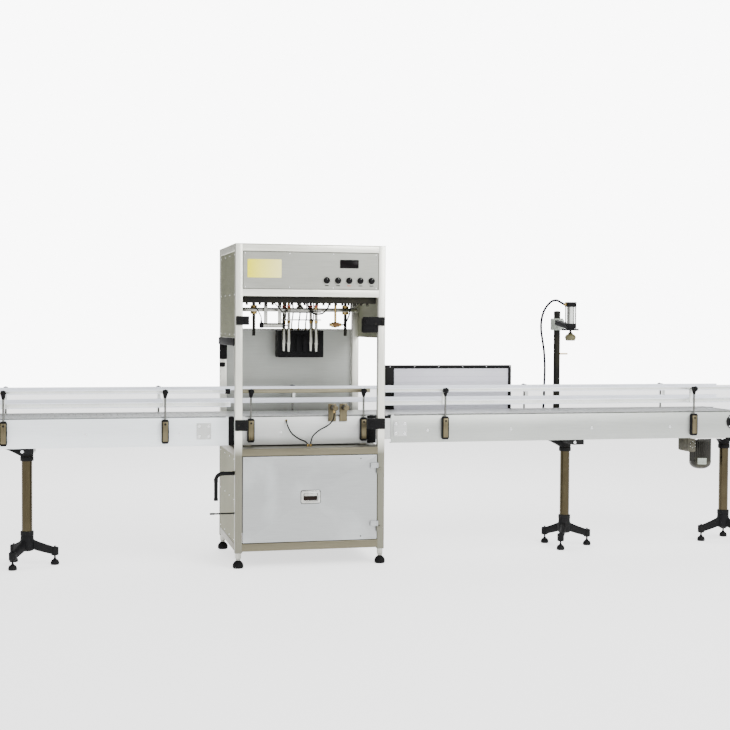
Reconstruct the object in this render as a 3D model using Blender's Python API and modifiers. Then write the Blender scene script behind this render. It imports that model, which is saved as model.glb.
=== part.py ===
"""Bottle filling and capping line: filling cabinet, belt conveyor and pneumatic cap press.

Metres, +Z up, floor at Z = 0. +X is the way the bottles travel, -Y is the operator's side.
The belt's centre line is Y = 0.
"""

import math

import bmesh
import bpy
from mathutils import Matrix, Vector

# ---------------------------------------------------------------- driving dimensions
GAP = 0.0003                  # clearance kept between pieces that touch

CABINET_LEFT = -0.870         # X of the cabinet's left face
CABINET_WIDTH = 0.846
CABINET_DEPTH = 0.684
CABINET_HEIGHT = 1.786
POST_SIZE = 0.040             # square tube of the frame
BEAM_SET_BACK = 0.001         # beams are this much shy of the posts' faces
FOOT_HEIGHT = 0.084           # floor to the posts' lower ends
BASE_BEAM_TOP = 0.136
BASE_BEAM_HEIGHT = 0.044
DECK_TOP = 0.658
DECK_BEAM_HEIGHT = 0.039
HEAD_HEIGHT = 0.286           # top to the head's underside
HEAD_SIDE_DROP = 0.515        # top to the lower edge of the upper side panels
BACK_PANEL_TOP = 1.320        # chamber's back panel
SHEET = 0.002                 # casing sheet
PLATE = 0.003                 # deck and floor plates, conveyor sides

DOOR_THICKNESS = 0.018
DOOR_REVEAL = 0.003
HINGE_RADIUS = 0.005
HINGE_LENGTH = 0.030
HINGE_END_DISTANCE = 0.045
PULL_WIDTH = 0.108
PULL_HEIGHT = 0.070
PULL_DEPTH = 0.014
PULL_RISE = 0.248             # door's lower edge to the pull's middle
PULL_LIP = 0.006

KNOB_COUNT = 5
KNOB_PITCH = 0.064
KNOB_RADIUS = 0.018
KNOB_HEIGHT = 0.022
KNOB_RISE = 0.051             # panel's lower edge to the knobs' middle
KNOB_END_DISTANCE = 0.041     # last knob to the panel's right edge
DISPLAY_WIDTH = 0.106
DISPLAY_HEIGHT = 0.047
DISPLAY_DEPTH = 0.005
DISPLAY_RISE = 0.143

FOOT_PAD_RADIUS = 0.030
FOOT_SLEEVE_RADIUS = 0.013

ELBOW_RADIUS = 0.012
ELBOW_REACH = 0.100
ELBOW_DROP = 0.150
ELBOW_HEIGHT = 0.521
INLET_RADIUS = 0.006
INLET_LENGTH = 0.134
INLET_HEIGHT = 0.299
SIDE_PIPE_INSET = 0.017       # front post's rear face to both side pipes

GUIDE_ROD_RADIUS = 0.009
GUIDE_ROD_DROP = 0.220        # head underside to the rods' lower ends
GUIDE_ROD_SPACING = 0.539
BEAM_DROP = 0.070             # head underside to the nozzle beam's middle
BEAM_HEIGHT = 0.022
BEAM_WIDTH = 0.050
BEAM_LENGTH = 0.668
NOZZLE_PITCH = 0.160
LANE_PITCH = 0.160            # two lanes of bottles
NOZZLE_RADIUS = 0.011
NOZZLE_TOP_RISE = 0.045       # above the beam's middle
NOZZLE_REACH = 0.240          # below the beam's middle
MANIFOLD_DROP = 0.044         # between the two cross plates of a nozzle pair
LIFT_STROKE = 0.120
LIFT_RADIUS = 0.024
LIFT_HEIGHT = 0.190
LIFT_ROD_RADIUS = 0.008
VALVE_BOX_WIDTH = 0.270
VALVE_BOX_DEPTH = 0.130
VALVE_BOX_OFFSET = 0.049      # cabinet's middle to the valve box's
VALVE_BOX_BOTTOM = 1.149
VALVE_BOX_TOP = 1.311

CONVEYOR_LEFT = -2.400
CONVEYOR_RIGHT = 2.310
BELT_WIDTH = 0.370
BELT_EDGE_GAP = 0.025         # belt's edge to the outside of the side plate
SIDE_PLATE_HEIGHT = 0.162
SIDE_PLATE_TOP = 0.830
LIP_WIDTH = 0.035
SECTION_OVERHANG = 0.017      # infeed section's end to the cabinet's side
OUTFEED_GAP = 0.071           # cabinet's side to the outfeed section
MIDDLE_END_GAP = 0.016        # middle section's ends to the posts' inner faces
CROSSBAR_WIDTH = 0.030
CROSSBAR_HEIGHT = 0.030
CROSSBAR_PITCH = 0.550
CROSSBAR_RISE = 0.070         # plate's lower edge to the crossbars' middle
BELT_TOP = 0.834
BELT_THICKNESS = 0.012
BELT_CLEARANCE = 0.0005       # belt's inner face to the pulleys
PULLEY_STEPS = 32
SPLICE_BOTTOM = 0.690
SPLICE_TOP = 0.810
SPLICE_REACH = 0.060          # into the sections each side of the cabinet
PULLEY_RADIUS = 0.0565
SHAFT_RADIUS = 0.015
SHAFT_OVERHANG = 0.018
SHAFT_END_DISTANCE = 0.092    # shaft axis to the conveyor's end

RAIL_INSET = 0.013            # belt's edge to the rails' middle
RAIL_DEPTH = 0.012
UPPER_RAIL_BOTTOM = 0.958
UPPER_RAIL_HEIGHT = 0.023
LOWER_RAIL_BOTTOM = 0.882
LOWER_RAIL_HEIGHT = 0.030
RAIL_END_GAP = 0.004
ROD_RADIUS = 0.006
ROD_CLEARANCE = 0.0006
HOLDER_SIZE = 0.030
HOLDER_BOTTOM = 0.690
HOLDER_HEIGHT = 0.125
CLAMP_SIZE = 0.026
FRONT_BRACKETS_INFEED = (-2.100, -1.241)
FRONT_BRACKETS_OUTFEED = (0.368, 1.945)
CHAMBER_BRACKET_INSETS = (0.104, 0.095)
BACK_BRACKETS = (-2.100, -1.241, -0.447, 1.020, 1.945)

STOP_POSITIONS = (-0.300, -0.235)
STOP_HEIGHT = 0.878
STOP_RADIUS = 0.016
STOP_LENGTH = 0.085
STOP_ROD_RADIUS = 0.005
STOP_STROKE = 0.060
STOP_BRACKET = 0.010
HOSE_RADIUS = 0.004

LEG_POSITIONS = (-1.981, 1.203, 2.274)
LEG_ANGLES = (0.0, 0.0, math.pi)
LEG_RADIUS = 0.029
LEG_HUB_TOP = 0.168
LEG_HUB_BOTTOM = 0.082
LEG_HUB_RADIUS = 0.040
LEG_ARM_REACH = 0.150
LEG_ARM_WIDTH = 0.032
LEG_TIP_HEIGHT = 0.076        # floor to the middle of an arm's end
LEG_PAD_RADIUS = 0.024
LEG_PAD_HEIGHT = 0.030
SADDLE_HEIGHT = 0.058
SADDLE_WIDTH = 0.074
SADDLE_GUSSETS = (0.131, 0.131, 0.060)

GEARBOX_LEFT = 1.993
GEARBOX_WIDTH = 0.050
GEARBOX_DEPTH = 0.150
GEARBOX_HEIGHT = 0.100
MOTOR_RADIUS = 0.067
MOTOR_HEIGHT = 0.204
MOTOR_FINS = 4
MOTOR_PLATE = 0.008

LIGHT_BOX_LEFT = 0.133
LIGHT_BOX_WIDTH = 0.807
LIGHT_BOX_BOTTOM = 0.800
LIGHT_BOX_TOP = 1.100
LIGHT_BOX_DEPTH = 0.050
LIGHT_BOX_SET_BACK = 0.030    # conveyor's back to the light box
LIGHT_BOX_BORDER = 0.020
LIGHT_BOX_LEFT_BORDER = 0.052
LIGHT_BOX_RECESS = 0.006

PRESS_POST_X = 1.242
PRESS_POST_RADIUS = 0.021
PRESS_POST_TOP = 1.440
PRESS_SOCKET_HEIGHT = 0.100
PRESS_POST_SET_BACK = 0.035   # conveyor's back to the post's axis
PRESS_X = 1.198
PRESS_Y = -LANE_PITCH / 2
CLAMP_WIDTH = 0.084
CLAMP_BOTTOM = 1.318
CLAMP_HEIGHT = 0.074
ARM_WIDTH = 0.036
ARM_PLATE = 0.012
PRESS_CAP_SIZE = 0.057
PRESS_CYLINDER_TOP = 1.490
PRESS_CAP_HEIGHT = 0.030
PRESS_BARREL_RADIUS = 0.023
PRESS_ROD_RADIUS = 0.008
PRESS_BORE_CLEARANCE = 0.0006
PRESS_STROKE = 0.080
PRESS_PAD_RADIUS = 0.034
PRESS_PAD_TOP = 1.298
PRESS_PAD_BOTTOM = 1.256
PRESS_HOSE_RADIUS = 0.007

# ---------------------------------------------------------------- worked-out places
CABINET_RIGHT = CABINET_LEFT + CABINET_WIDTH
CABINET_MIDDLE = CABINET_LEFT + CABINET_WIDTH / 2
FRONT = -CABINET_DEPTH / 2
BACK = CABINET_DEPTH / 2
INNER_LEFT = CABINET_LEFT + POST_SIZE
INNER_RIGHT = CABINET_RIGHT - POST_SIZE
INNER_FRONT = FRONT + POST_SIZE
INNER_BACK = BACK - POST_SIZE
HEAD_BOTTOM = CABINET_HEIGHT - HEAD_HEIGHT
HEAD_PANEL_BOTTOM = HEAD_BOTTOM + POST_SIZE
HEAD_PANEL_TOP = CABINET_HEIGHT - POST_SIZE
PANEL_FACE = FRONT + BEAM_SET_BACK
DOOR_BOTTOM = BASE_BEAM_TOP + DOOR_REVEAL
DOOR_TOP = DECK_TOP - DECK_BEAM_HEIGHT - DOOR_REVEAL
DOOR_LEFT = INNER_LEFT + DOOR_REVEAL
DOOR_RIGHT = INNER_RIGHT - DOOR_REVEAL
HINGE_X = INNER_RIGHT - DOOR_REVEAL / 2
HINGE_Y = FRONT - HINGE_RADIUS - DOOR_REVEAL / 2
HINGE_HEIGHTS = (DOOR_BOTTOM + HINGE_END_DISTANCE, DOOR_TOP - HINGE_END_DISTANCE - 2 * HINGE_LENGTH)
SIDE_PLATE_BOTTOM = SIDE_PLATE_TOP - SIDE_PLATE_HEIGHT
PLATE_Y = BELT_WIDTH / 2 + BELT_EDGE_GAP
RAIL_Y = BELT_WIDTH / 2 - RAIL_INSET
PRESS_POST_Y = PLATE_Y + PRESS_POST_SET_BACK
SHAFT_HEIGHT = BELT_TOP - BELT_THICKNESS - PULLEY_RADIUS - BELT_CLEARANCE
DRIVE_X = CONVEYOR_RIGHT - SHAFT_END_DISTANCE
IDLER_X = CONVEYOR_LEFT + SHAFT_END_DISTANCE
INFEED_END = CABINET_LEFT - SECTION_OVERHANG
MIDDLE_START = INNER_LEFT + MIDDLE_END_GAP
MIDDLE_END = INNER_RIGHT - MIDDLE_END_GAP
OUTFEED_START = CABINET_RIGHT + OUTFEED_GAP
HOLDER_Y = PLATE_Y + HOLDER_SIZE / 2
BEAM_MIDDLE = HEAD_BOTTOM - BEAM_DROP

STEEL = ("stainless", (0.62, 0.62, 0.58), 0.35, 0.9)
SHEET_STEEL = ("stainless_sheet", (0.66, 0.66, 0.60), 0.4, 0.85)
DARK_STEEL = ("dark_steel", (0.12, 0.12, 0.12), 0.45, 0.7)
CHROME = ("chrome", (0.82, 0.82, 0.82), 0.12, 1.0)
PALE_PLATE = ("pale_plate", (0.80, 0.81, 0.82), 0.4, 0.6)
WHITE_PLASTIC = ("white_plastic", (0.86, 0.88, 0.90), 0.4, 0.0)
BLACK_PLASTIC = ("black_plastic", (0.02, 0.02, 0.02), 0.45, 0.0)
BLACK_PAINT = ("black_paint", (0.02, 0.02, 0.02), 0.5, 0.1)
RUBBER = ("rubber", (0.015, 0.015, 0.015), 0.8, 0.0)
GREY_PAINT = ("grey_paint", (0.30, 0.32, 0.30), 0.45, 0.3)
PAD_RUBBER = ("pad_rubber", (0.62, 0.62, 0.30), 0.6, 0.0)


# ---------------------------------------------------------------- tools
def clear_scene():
    """Remove every object, so that the script starts from nothing."""
    for old in list(bpy.data.objects):
        bpy.data.objects.remove(old, do_unlink=True)


def make_collection(name, hidden=False):
    """Return a new collection linked to the scene."""
    collection = bpy.data.collections.new(name)
    bpy.context.scene.collection.children.link(collection)
    collection.hide_render = hidden
    return collection


def finish(name, obj, finish_values):
    """Name the object, give it its material and put it with the machine's parts."""
    slot, colour, roughness, metallic = finish_values
    material = bpy.data.materials.get(slot)
    if material is None:
        material = bpy.data.materials.new(slot)
        material.use_nodes = True
        shader = material.node_tree.nodes["Principled BSDF"]
        shader.inputs["Base Color"].default_value = (*colour, 1.0)
        shader.inputs["Roughness"].default_value = roughness
        shader.inputs["Metallic"].default_value = metallic
        material.diffuse_color = (*colour, 1.0)
    obj.name = name
    obj.data.name = name
    obj.data.materials.clear()
    obj.data.materials.append(material)
    return obj


def new_object(mesh):
    """Link a mesh into the machine's collection as an object."""
    obj = bpy.data.objects.new("piece", mesh)
    PARTS.objects.link(obj)
    return obj


def bake(obj):
    """Replace the object's data by its evaluated mesh, without its modifiers."""
    bpy.context.view_layer.update()
    depsgraph = bpy.context.evaluated_depsgraph_get()
    mesh = bpy.data.meshes.new_from_object(obj.evaluated_get(depsgraph))
    obj.modifiers.clear()
    obj.data = mesh
    return obj


def box(low, high):
    """Make a box between two corners, with its origin at the world's origin."""
    mesh = bpy.data.meshes.new("box")
    shape = bmesh.new()
    bmesh.ops.create_cube(shape, size=1.0)
    low = Vector(low)
    high = Vector(high)
    place = Matrix.Translation((low + high) / 2) @ Matrix.Diagonal((*(high - low), 1.0))
    bmesh.ops.transform(shape, matrix=place, verts=shape.verts)
    shape.to_mesh(mesh)
    shape.free()
    return new_object(mesh)


def rod(start, end, radius, segments=12, end_radius=None):
    """Make a cylinder or a cone between two points."""
    start = Vector(start)
    end = Vector(end)
    along = end - start
    mesh = bpy.data.meshes.new("rod")
    shape = bmesh.new()
    bmesh.ops.create_cone(
        shape, cap_ends=True, segments=segments, radius1=radius,
        radius2=radius if end_radius is None else end_radius, depth=along.length)
    turn = Vector((0, 0, 1)).rotation_difference(along.normalized()).to_matrix().to_4x4()
    place = Matrix.Translation((start + end) / 2) @ turn
    bmesh.ops.transform(shape, matrix=place, verts=shape.verts)
    shape.to_mesh(mesh)
    shape.free()
    mesh.shade_smooth()
    mesh.set_sharp_from_angle(angle=math.radians(40))
    return new_object(mesh)


def turned(profile, place, facing_front=False, steps=24):
    """Turn a profile of (radius, height) points, listed from the top down, about its own Z.

    facing_front lays the axis along -Y, so that the profile's top looks at the operator.
    """
    mesh = bpy.data.meshes.new("profile")
    points = [(radius, 0.0, height) for radius, height in profile]
    edges = [(index, index + 1) for index in range(len(points) - 1)]
    mesh.from_pydata(points, edges, [])
    obj = new_object(mesh)
    screw = obj.modifiers.new("turn", "SCREW")
    screw.steps = steps
    screw.render_steps = steps
    screw.use_merge_vertices = True
    screw.merge_threshold = 0.00001
    bake(obj)
    obj.data.shade_smooth()
    obj.data.set_sharp_from_angle(angle=math.radians(35))
    if facing_front:
        obj.rotation_euler = (math.pi / 2, 0.0, 0.0)
    obj.location = place
    bpy.context.view_layer.update()
    return obj


def solid_from_curve(curve, matrix):
    """Turn a curve into a closed mesh whose caps are welded, placed by the matrix."""
    guide = bpy.data.objects.new("guide", curve)
    GUIDES.objects.link(guide)
    bpy.context.view_layer.update()
    depsgraph = bpy.context.evaluated_depsgraph_get()
    mesh = bpy.data.meshes.new_from_object(guide.evaluated_get(depsgraph))
    bpy.data.objects.remove(guide, do_unlink=True)
    shape = bmesh.new()
    shape.from_mesh(mesh)
    bmesh.ops.remove_doubles(shape, verts=shape.verts, dist=0.00001)
    bmesh.ops.transform(shape, matrix=matrix, verts=shape.verts)
    bmesh.ops.recalc_face_normals(shape, faces=shape.faces)
    shape.to_mesh(mesh)
    shape.free()
    return new_object(mesh)


def prism(outlines, start, end, along):
    """Extrude closed flat outlines from start to end along X or Y; a second outline is a hole.

    Along X the outlines are (Y, Z) points, along Y they are (X, Z) points.
    """
    curve = bpy.data.curves.new("outline", "CURVE")
    curve.dimensions = "2D"
    curve.fill_mode = "BOTH"
    curve.extrude = (end - start) / 2
    for outline in outlines:
        spline = curve.splines.new("POLY")
        spline.points.add(len(outline) - 1)
        for point, (across, up) in zip(spline.points, outline):
            point.co = (across, up, 0.0, 1.0)
        spline.use_cyclic_u = True
    middle = (start + end) / 2
    if along == "X":
        matrix = Matrix(((0, 0, 1, middle), (1, 0, 0, 0), (0, 1, 0, 0), (0, 0, 0, 1)))
    else:
        matrix = Matrix(((1, 0, 0, 0), (0, 0, -1, middle), (0, 1, 0, 0), (0, 0, 0, 1)))
    return solid_from_curve(curve, matrix)


def tube(points, radius):
    """Make a round hose or pipe along the points, with filled ends."""
    curve = bpy.data.curves.new("route", "CURVE")
    curve.dimensions = "3D"
    curve.bevel_depth = radius
    curve.bevel_resolution = 2
    curve.use_fill_caps = True
    spline = curve.splines.new("POLY")
    spline.points.add(len(points) - 1)
    for point, place in zip(spline.points, points):
        point.co = (*place, 1.0)
    obj = solid_from_curve(curve, Matrix.Identity(4))
    obj.data.shade_smooth()
    obj.data.set_sharp_from_angle(angle=math.radians(50))
    return obj


def smooth_route(points, spacing):
    """Read points off the smooth curve through a route's own points, about spacing apart."""
    knots = [Vector(point) for point in points]
    route = [knots[0]]
    for index in range(len(knots) - 1):
        before = knots[max(index - 1, 0)]
        start = knots[index]
        end = knots[index + 1]
        after = knots[min(index + 2, len(knots) - 1)]
        count = max(1, round((end - start).length / spacing))
        for step in range(1, count + 1):
            t = step / count
            route.append(0.5 * (2 * start + (end - before) * t
                                + (2 * before - 5 * start + 4 * end - after) * t ** 2
                                + (3 * start - before - 3 * end + after) * t ** 3))
    return route


def boolean(base, others, operation):
    """Apply a Boolean with each of the other objects in turn, and remove them."""
    for other in others:
        modifier = base.modifiers.new(operation.lower(), "BOOLEAN")
        modifier.operation = operation
        modifier.solver = "EXACT"
        modifier.object = other
        bake(base)
        bpy.data.objects.remove(other, do_unlink=True)
    return base


def join(pieces):
    """Unite solids that overlap into one body."""
    return boolean(pieces[0], pieces[1:], "UNION")


def cut(base, cutters):
    """Take the cutters out of the base."""
    return boolean(base, cutters, "DIFFERENCE")


def set_origin(obj, origin):
    """Move an object's origin to a point and leave its surface where it is."""
    offset = Vector(origin) - obj.location
    obj.data.transform(Matrix.Translation(-offset))
    obj.location = origin
    return obj


# ---------------------------------------------------------------- filling cabinet
def cabinet_frame():
    """Welded square tube frame with the fixed halves of the door's hinges."""
    top_band = (HEAD_PANEL_TOP + BEAM_SET_BACK, CABINET_HEIGHT - BEAM_SET_BACK)
    head_band = (HEAD_BOTTOM, HEAD_PANEL_BOTTOM)
    deck_band = (DECK_TOP - DECK_BEAM_HEIGHT, DECK_TOP)
    base_band = (BASE_BEAM_TOP - BASE_BEAM_HEIGHT, BASE_BEAM_TOP)
    bury = POST_SIZE / 2
    pieces = []
    for left in (CABINET_LEFT, INNER_RIGHT):
        for front in (FRONT, INNER_BACK):
            pieces.append(box((left, front, FOOT_HEIGHT),
                              (left + POST_SIZE, front + POST_SIZE, CABINET_HEIGHT)))
    for front in (FRONT, INNER_BACK):
        for low, high in (top_band, head_band, deck_band, base_band):
            pieces.append(box((INNER_LEFT - bury, front + BEAM_SET_BACK, low),
                              (INNER_RIGHT + bury, front + POST_SIZE - BEAM_SET_BACK, high)))
    for left in (CABINET_LEFT, INNER_RIGHT):
        for low, high in (top_band, deck_band, base_band):
            pieces.append(box((left + BEAM_SET_BACK, INNER_FRONT - bury, low),
                              (left + POST_SIZE - BEAM_SET_BACK, INNER_BACK + bury, high)))
    for height in HINGE_HEIGHTS:
        pieces.append(rod((HINGE_X, HINGE_Y, height), (HINGE_X, HINGE_Y, height + HINGE_LENGTH),
                          HINGE_RADIUS, 10))
        pieces.append(box((HINGE_X, HINGE_Y - HINGE_RADIUS / 2, height + GAP),
                          (HINGE_X + POST_SIZE / 2, FRONT + BEAM_SET_BACK, height + HINGE_LENGTH - GAP)))
    return finish("cabinet_frame", join(pieces), STEEL)


def flat_panels():
    """Casing sheets that fill the frame's fields, each with a small gap all round."""
    back_face = BACK - BEAM_SET_BACK
    side_front = INNER_FRONT + GAP
    side_back = INNER_BACK - GAP
    for side, outer in (("left", CABINET_LEFT + SHEET), ("right", CABINET_RIGHT - 2 * SHEET)):
        drop = CABINET_HEIGHT - HEAD_SIDE_DROP
        finish(f"head_{side}_panel",
               box((outer, side_front, drop),
                   (outer + SHEET, side_back, HEAD_PANEL_TOP - GAP)), SHEET_STEEL)
        finish(f"lower_{side}_panel",
               box((outer, side_front, BASE_BEAM_TOP + GAP),
                   (outer + SHEET, side_back, DECK_TOP - DECK_BEAM_HEIGHT - GAP)), SHEET_STEEL)
    finish("lower_back_panel",
           box((INNER_LEFT + GAP, back_face - 2 * SHEET, BASE_BEAM_TOP + GAP),
               (INNER_RIGHT - GAP, back_face - SHEET, DECK_TOP - DECK_BEAM_HEIGHT - GAP)), SHEET_STEEL)
    finish("chamber_back_panel",
           box((INNER_LEFT + GAP, back_face - 2 * SHEET, DECK_TOP + PLATE + 2 * GAP),
               (INNER_RIGHT - GAP, back_face - SHEET, BACK_PANEL_TOP)), SHEET_STEEL)
    finish("head_front_panel",
           box((INNER_LEFT + GAP, PANEL_FACE, HEAD_PANEL_BOTTOM + GAP),
               (INNER_RIGHT - GAP, PANEL_FACE + SHEET, HEAD_PANEL_TOP - GAP)), SHEET_STEEL)
    finish("deck_plate",
           box((INNER_LEFT + GAP, FRONT + BEAM_SET_BACK, DECK_TOP + GAP),
               (INNER_RIGHT - GAP, back_face - 2 * BEAM_SET_BACK, DECK_TOP + GAP + PLATE)), SHEET_STEEL)


def head_top_cover():
    """Folded sheet: the head's roof and, turned down behind, its back."""
    roof = box((CABINET_LEFT, FRONT, CABINET_HEIGHT + GAP),
               (CABINET_RIGHT, BACK + GAP + SHEET, CABINET_HEIGHT + GAP + SHEET))
    back = box((CABINET_LEFT, BACK + GAP, HEAD_BOTTOM),
               (CABINET_RIGHT, BACK + GAP + SHEET, CABINET_HEIGHT + SHEET))
    return finish("head_top_cover", join([roof, back]), SHEET_STEEL)


def head_floor_plate():
    """Underside of the head, with the two guide rods that hang from it."""
    plate = box((INNER_LEFT + GAP, INNER_FRONT, HEAD_BOTTOM),
                (INNER_RIGHT - GAP, INNER_BACK, HEAD_BOTTOM + PLATE))
    hole = rod((CABINET_MIDDLE, 0, HEAD_BOTTOM - PLATE), (CABINET_MIDDLE, 0, HEAD_BOTTOM + 2 * PLATE),
               LIFT_ROD_RADIUS + 2 * ROD_CLEARANCE, 16)
    cut(plate, [hole])
    rods = [rod((x, 0, HEAD_BOTTOM - GUIDE_ROD_DROP), (x, 0, HEAD_BOTTOM + PLATE / 2), GUIDE_ROD_RADIUS, 14)
            for x in guide_rod_places()]
    return finish("head_floor_plate", join([plate, *rods]), DARK_STEEL)


def guide_rod_places():
    """X of both guide rods."""
    return (CABINET_MIDDLE - GUIDE_ROD_SPACING / 2, CABINET_MIDDLE + GUIDE_ROD_SPACING / 2)


def front_door():
    """Folded sheet door with hinge leaves, and the recessed pull that sits in its opening."""
    middle_x = (DOOR_LEFT + DOOR_RIGHT) / 2
    middle_z = DOOR_BOTTOM + PULL_RISE
    half_width = PULL_WIDTH / 2 - PULL_LIP
    half_height = PULL_HEIGHT / 2 - PULL_LIP
    panel = box((DOOR_LEFT, FRONT, DOOR_BOTTOM), (DOOR_RIGHT, FRONT + DOOR_THICKNESS, DOOR_TOP))
    hollow = box((DOOR_LEFT + SHEET, FRONT + SHEET, DOOR_BOTTOM + SHEET),
                 (DOOR_RIGHT - SHEET, FRONT + 2 * DOOR_THICKNESS, DOOR_TOP - SHEET))
    window = box((middle_x - half_width, FRONT - SHEET, middle_z - half_height),
                 (middle_x + half_width, FRONT + 2 * SHEET, middle_z + half_height))
    cut(panel, [hollow, window])
    leaves = []
    for height in HINGE_HEIGHTS:
        low = height + HINGE_LENGTH + GAP
        high = height + 2 * HINGE_LENGTH
        leaves.append(rod((HINGE_X, HINGE_Y, low), (HINGE_X, HINGE_Y, high), HINGE_RADIUS, 10))
        leaves.append(box((HINGE_X - POST_SIZE, HINGE_Y - HINGE_RADIUS / 2, low + GAP),
                          (HINGE_X, FRONT - GAP, high - GAP)))
        leaves.append(box((HINGE_X - POST_SIZE, FRONT - 2 * GAP, low + GAP),
                          (HINGE_X - POST_SIZE / 2, FRONT + SHEET / 2, high - GAP)))
    door = finish("front_door", join([panel, *leaves]), SHEET_STEEL)
    set_origin(door, (HINGE_X, HINGE_Y, 0.0))

    rim = box((middle_x - PULL_WIDTH / 2, FRONT - GAP - SHEET, middle_z - PULL_HEIGHT / 2),
              (middle_x + PULL_WIDTH / 2, FRONT - GAP, middle_z + PULL_HEIGHT / 2))
    tray = box((middle_x - half_width + GAP, FRONT - GAP - SHEET / 2, middle_z - half_height + GAP),
               (middle_x + half_width - GAP, FRONT - GAP + PULL_DEPTH, middle_z + half_height - GAP))
    wall = SHEET
    pocket = box((middle_x - half_width + wall, FRONT - DOOR_THICKNESS, middle_z - half_height + wall),
                 (middle_x + half_width - wall, FRONT - GAP + PULL_DEPTH - wall,
                  middle_z + half_height - wall))
    pull = cut(join([rim, tray]), [pocket])
    finish("door_pull", pull, CHROME)
    return set_origin(pull, (HINGE_X, HINGE_Y, 0.0))


def knobs():
    """Row of round control knobs on the head's front panel."""
    last_x = INNER_RIGHT - KNOB_END_DISTANCE
    height = HEAD_PANEL_BOTTOM + KNOB_RISE
    skirt = KNOB_HEIGHT * 0.3
    profile = [(0.0, KNOB_HEIGHT), (KNOB_RADIUS * 0.66, KNOB_HEIGHT),
               (KNOB_RADIUS * 0.74, KNOB_HEIGHT * 0.94),
               (KNOB_RADIUS * 0.80, skirt), (KNOB_RADIUS, skirt * 0.8), (KNOB_RADIUS, 0.0), (0.0, 0.0)]
    for index in range(KNOB_COUNT):
        x = last_x - (KNOB_COUNT - 1 - index) * KNOB_PITCH
        knob = turned(profile, (x, PANEL_FACE - GAP, height), facing_front=True, steps=16)
        finish(f"knob_{index + 1}", knob, BLACK_PLASTIC)


def counter_display():
    """Display window above the knobs, with a raised frame."""
    middle_x = INNER_RIGHT - KNOB_END_DISTANCE - 2 * KNOB_PITCH
    middle_z = HEAD_PANEL_BOTTOM + DISPLAY_RISE
    frame = box((middle_x - DISPLAY_WIDTH / 2, PANEL_FACE - GAP - DISPLAY_DEPTH,
                 middle_z - DISPLAY_HEIGHT / 2),
                (middle_x + DISPLAY_WIDTH / 2, PANEL_FACE - GAP, middle_z + DISPLAY_HEIGHT / 2))
    border = 2 * SHEET
    window = box((middle_x - DISPLAY_WIDTH / 2 + border, PANEL_FACE - 2 * DISPLAY_DEPTH,
                  middle_z - DISPLAY_HEIGHT / 2 + border),
                 (middle_x + DISPLAY_WIDTH / 2 - border, PANEL_FACE - GAP - DISPLAY_DEPTH + SHEET / 2,
                  middle_z + DISPLAY_HEIGHT / 2 - border))
    return finish("counter_display", cut(frame, [window]), BLACK_PLASTIC)


def levelling_feet():
    """Rubber cone feet with a steel sleeve, one under each post."""
    top = FOOT_HEIGHT - GAP
    profile = [(0.0, top), (FOOT_SLEEVE_RADIUS, top), (FOOT_SLEEVE_RADIUS, FOOT_HEIGHT * 0.6),
               (FOOT_SLEEVE_RADIUS * 1.3, FOOT_HEIGHT * 0.58), (FOOT_PAD_RADIUS * 0.93, FOOT_HEIGHT * 0.2),
               (FOOT_PAD_RADIUS, FOOT_HEIGHT * 0.14), (FOOT_PAD_RADIUS, 0.0), (0.0, 0.0)]
    number = 0
    for x in (CABINET_LEFT + POST_SIZE / 2, CABINET_RIGHT - POST_SIZE / 2):
        for y in (FRONT + POST_SIZE / 2, BACK - POST_SIZE / 2):
            number += 1
            finish(f"levelling_foot_{number}", turned(profile, (x, y, 0.0), steps=16), RUBBER)


def side_pipes():
    """Black elbow and thin inlet pipe that leave the lower left panel."""
    face = CABINET_LEFT + SHEET - GAP
    y = INNER_FRONT + SIDE_PIPE_INSET
    bend = 3 * ELBOW_RADIUS
    corner_x = face - ELBOW_REACH
    arc = [(corner_x + bend - bend * math.sin(turn * math.pi / 8),
            y, ELBOW_HEIGHT - bend + bend * math.cos(turn * math.pi / 8)) for turn in range(5)]
    route = [(face, y, ELBOW_HEIGHT), *arc, (corner_x, y, ELBOW_HEIGHT - ELBOW_DROP)]
    finish("inlet_elbow", tube(route, ELBOW_RADIUS), BLACK_PLASTIC)
    finish("air_inlet_pipe", rod((face, y, INLET_HEIGHT), (face - INLET_LENGTH, y, INLET_HEIGHT),
                                 INLET_RADIUS),
           BLACK_PAINT)


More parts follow.
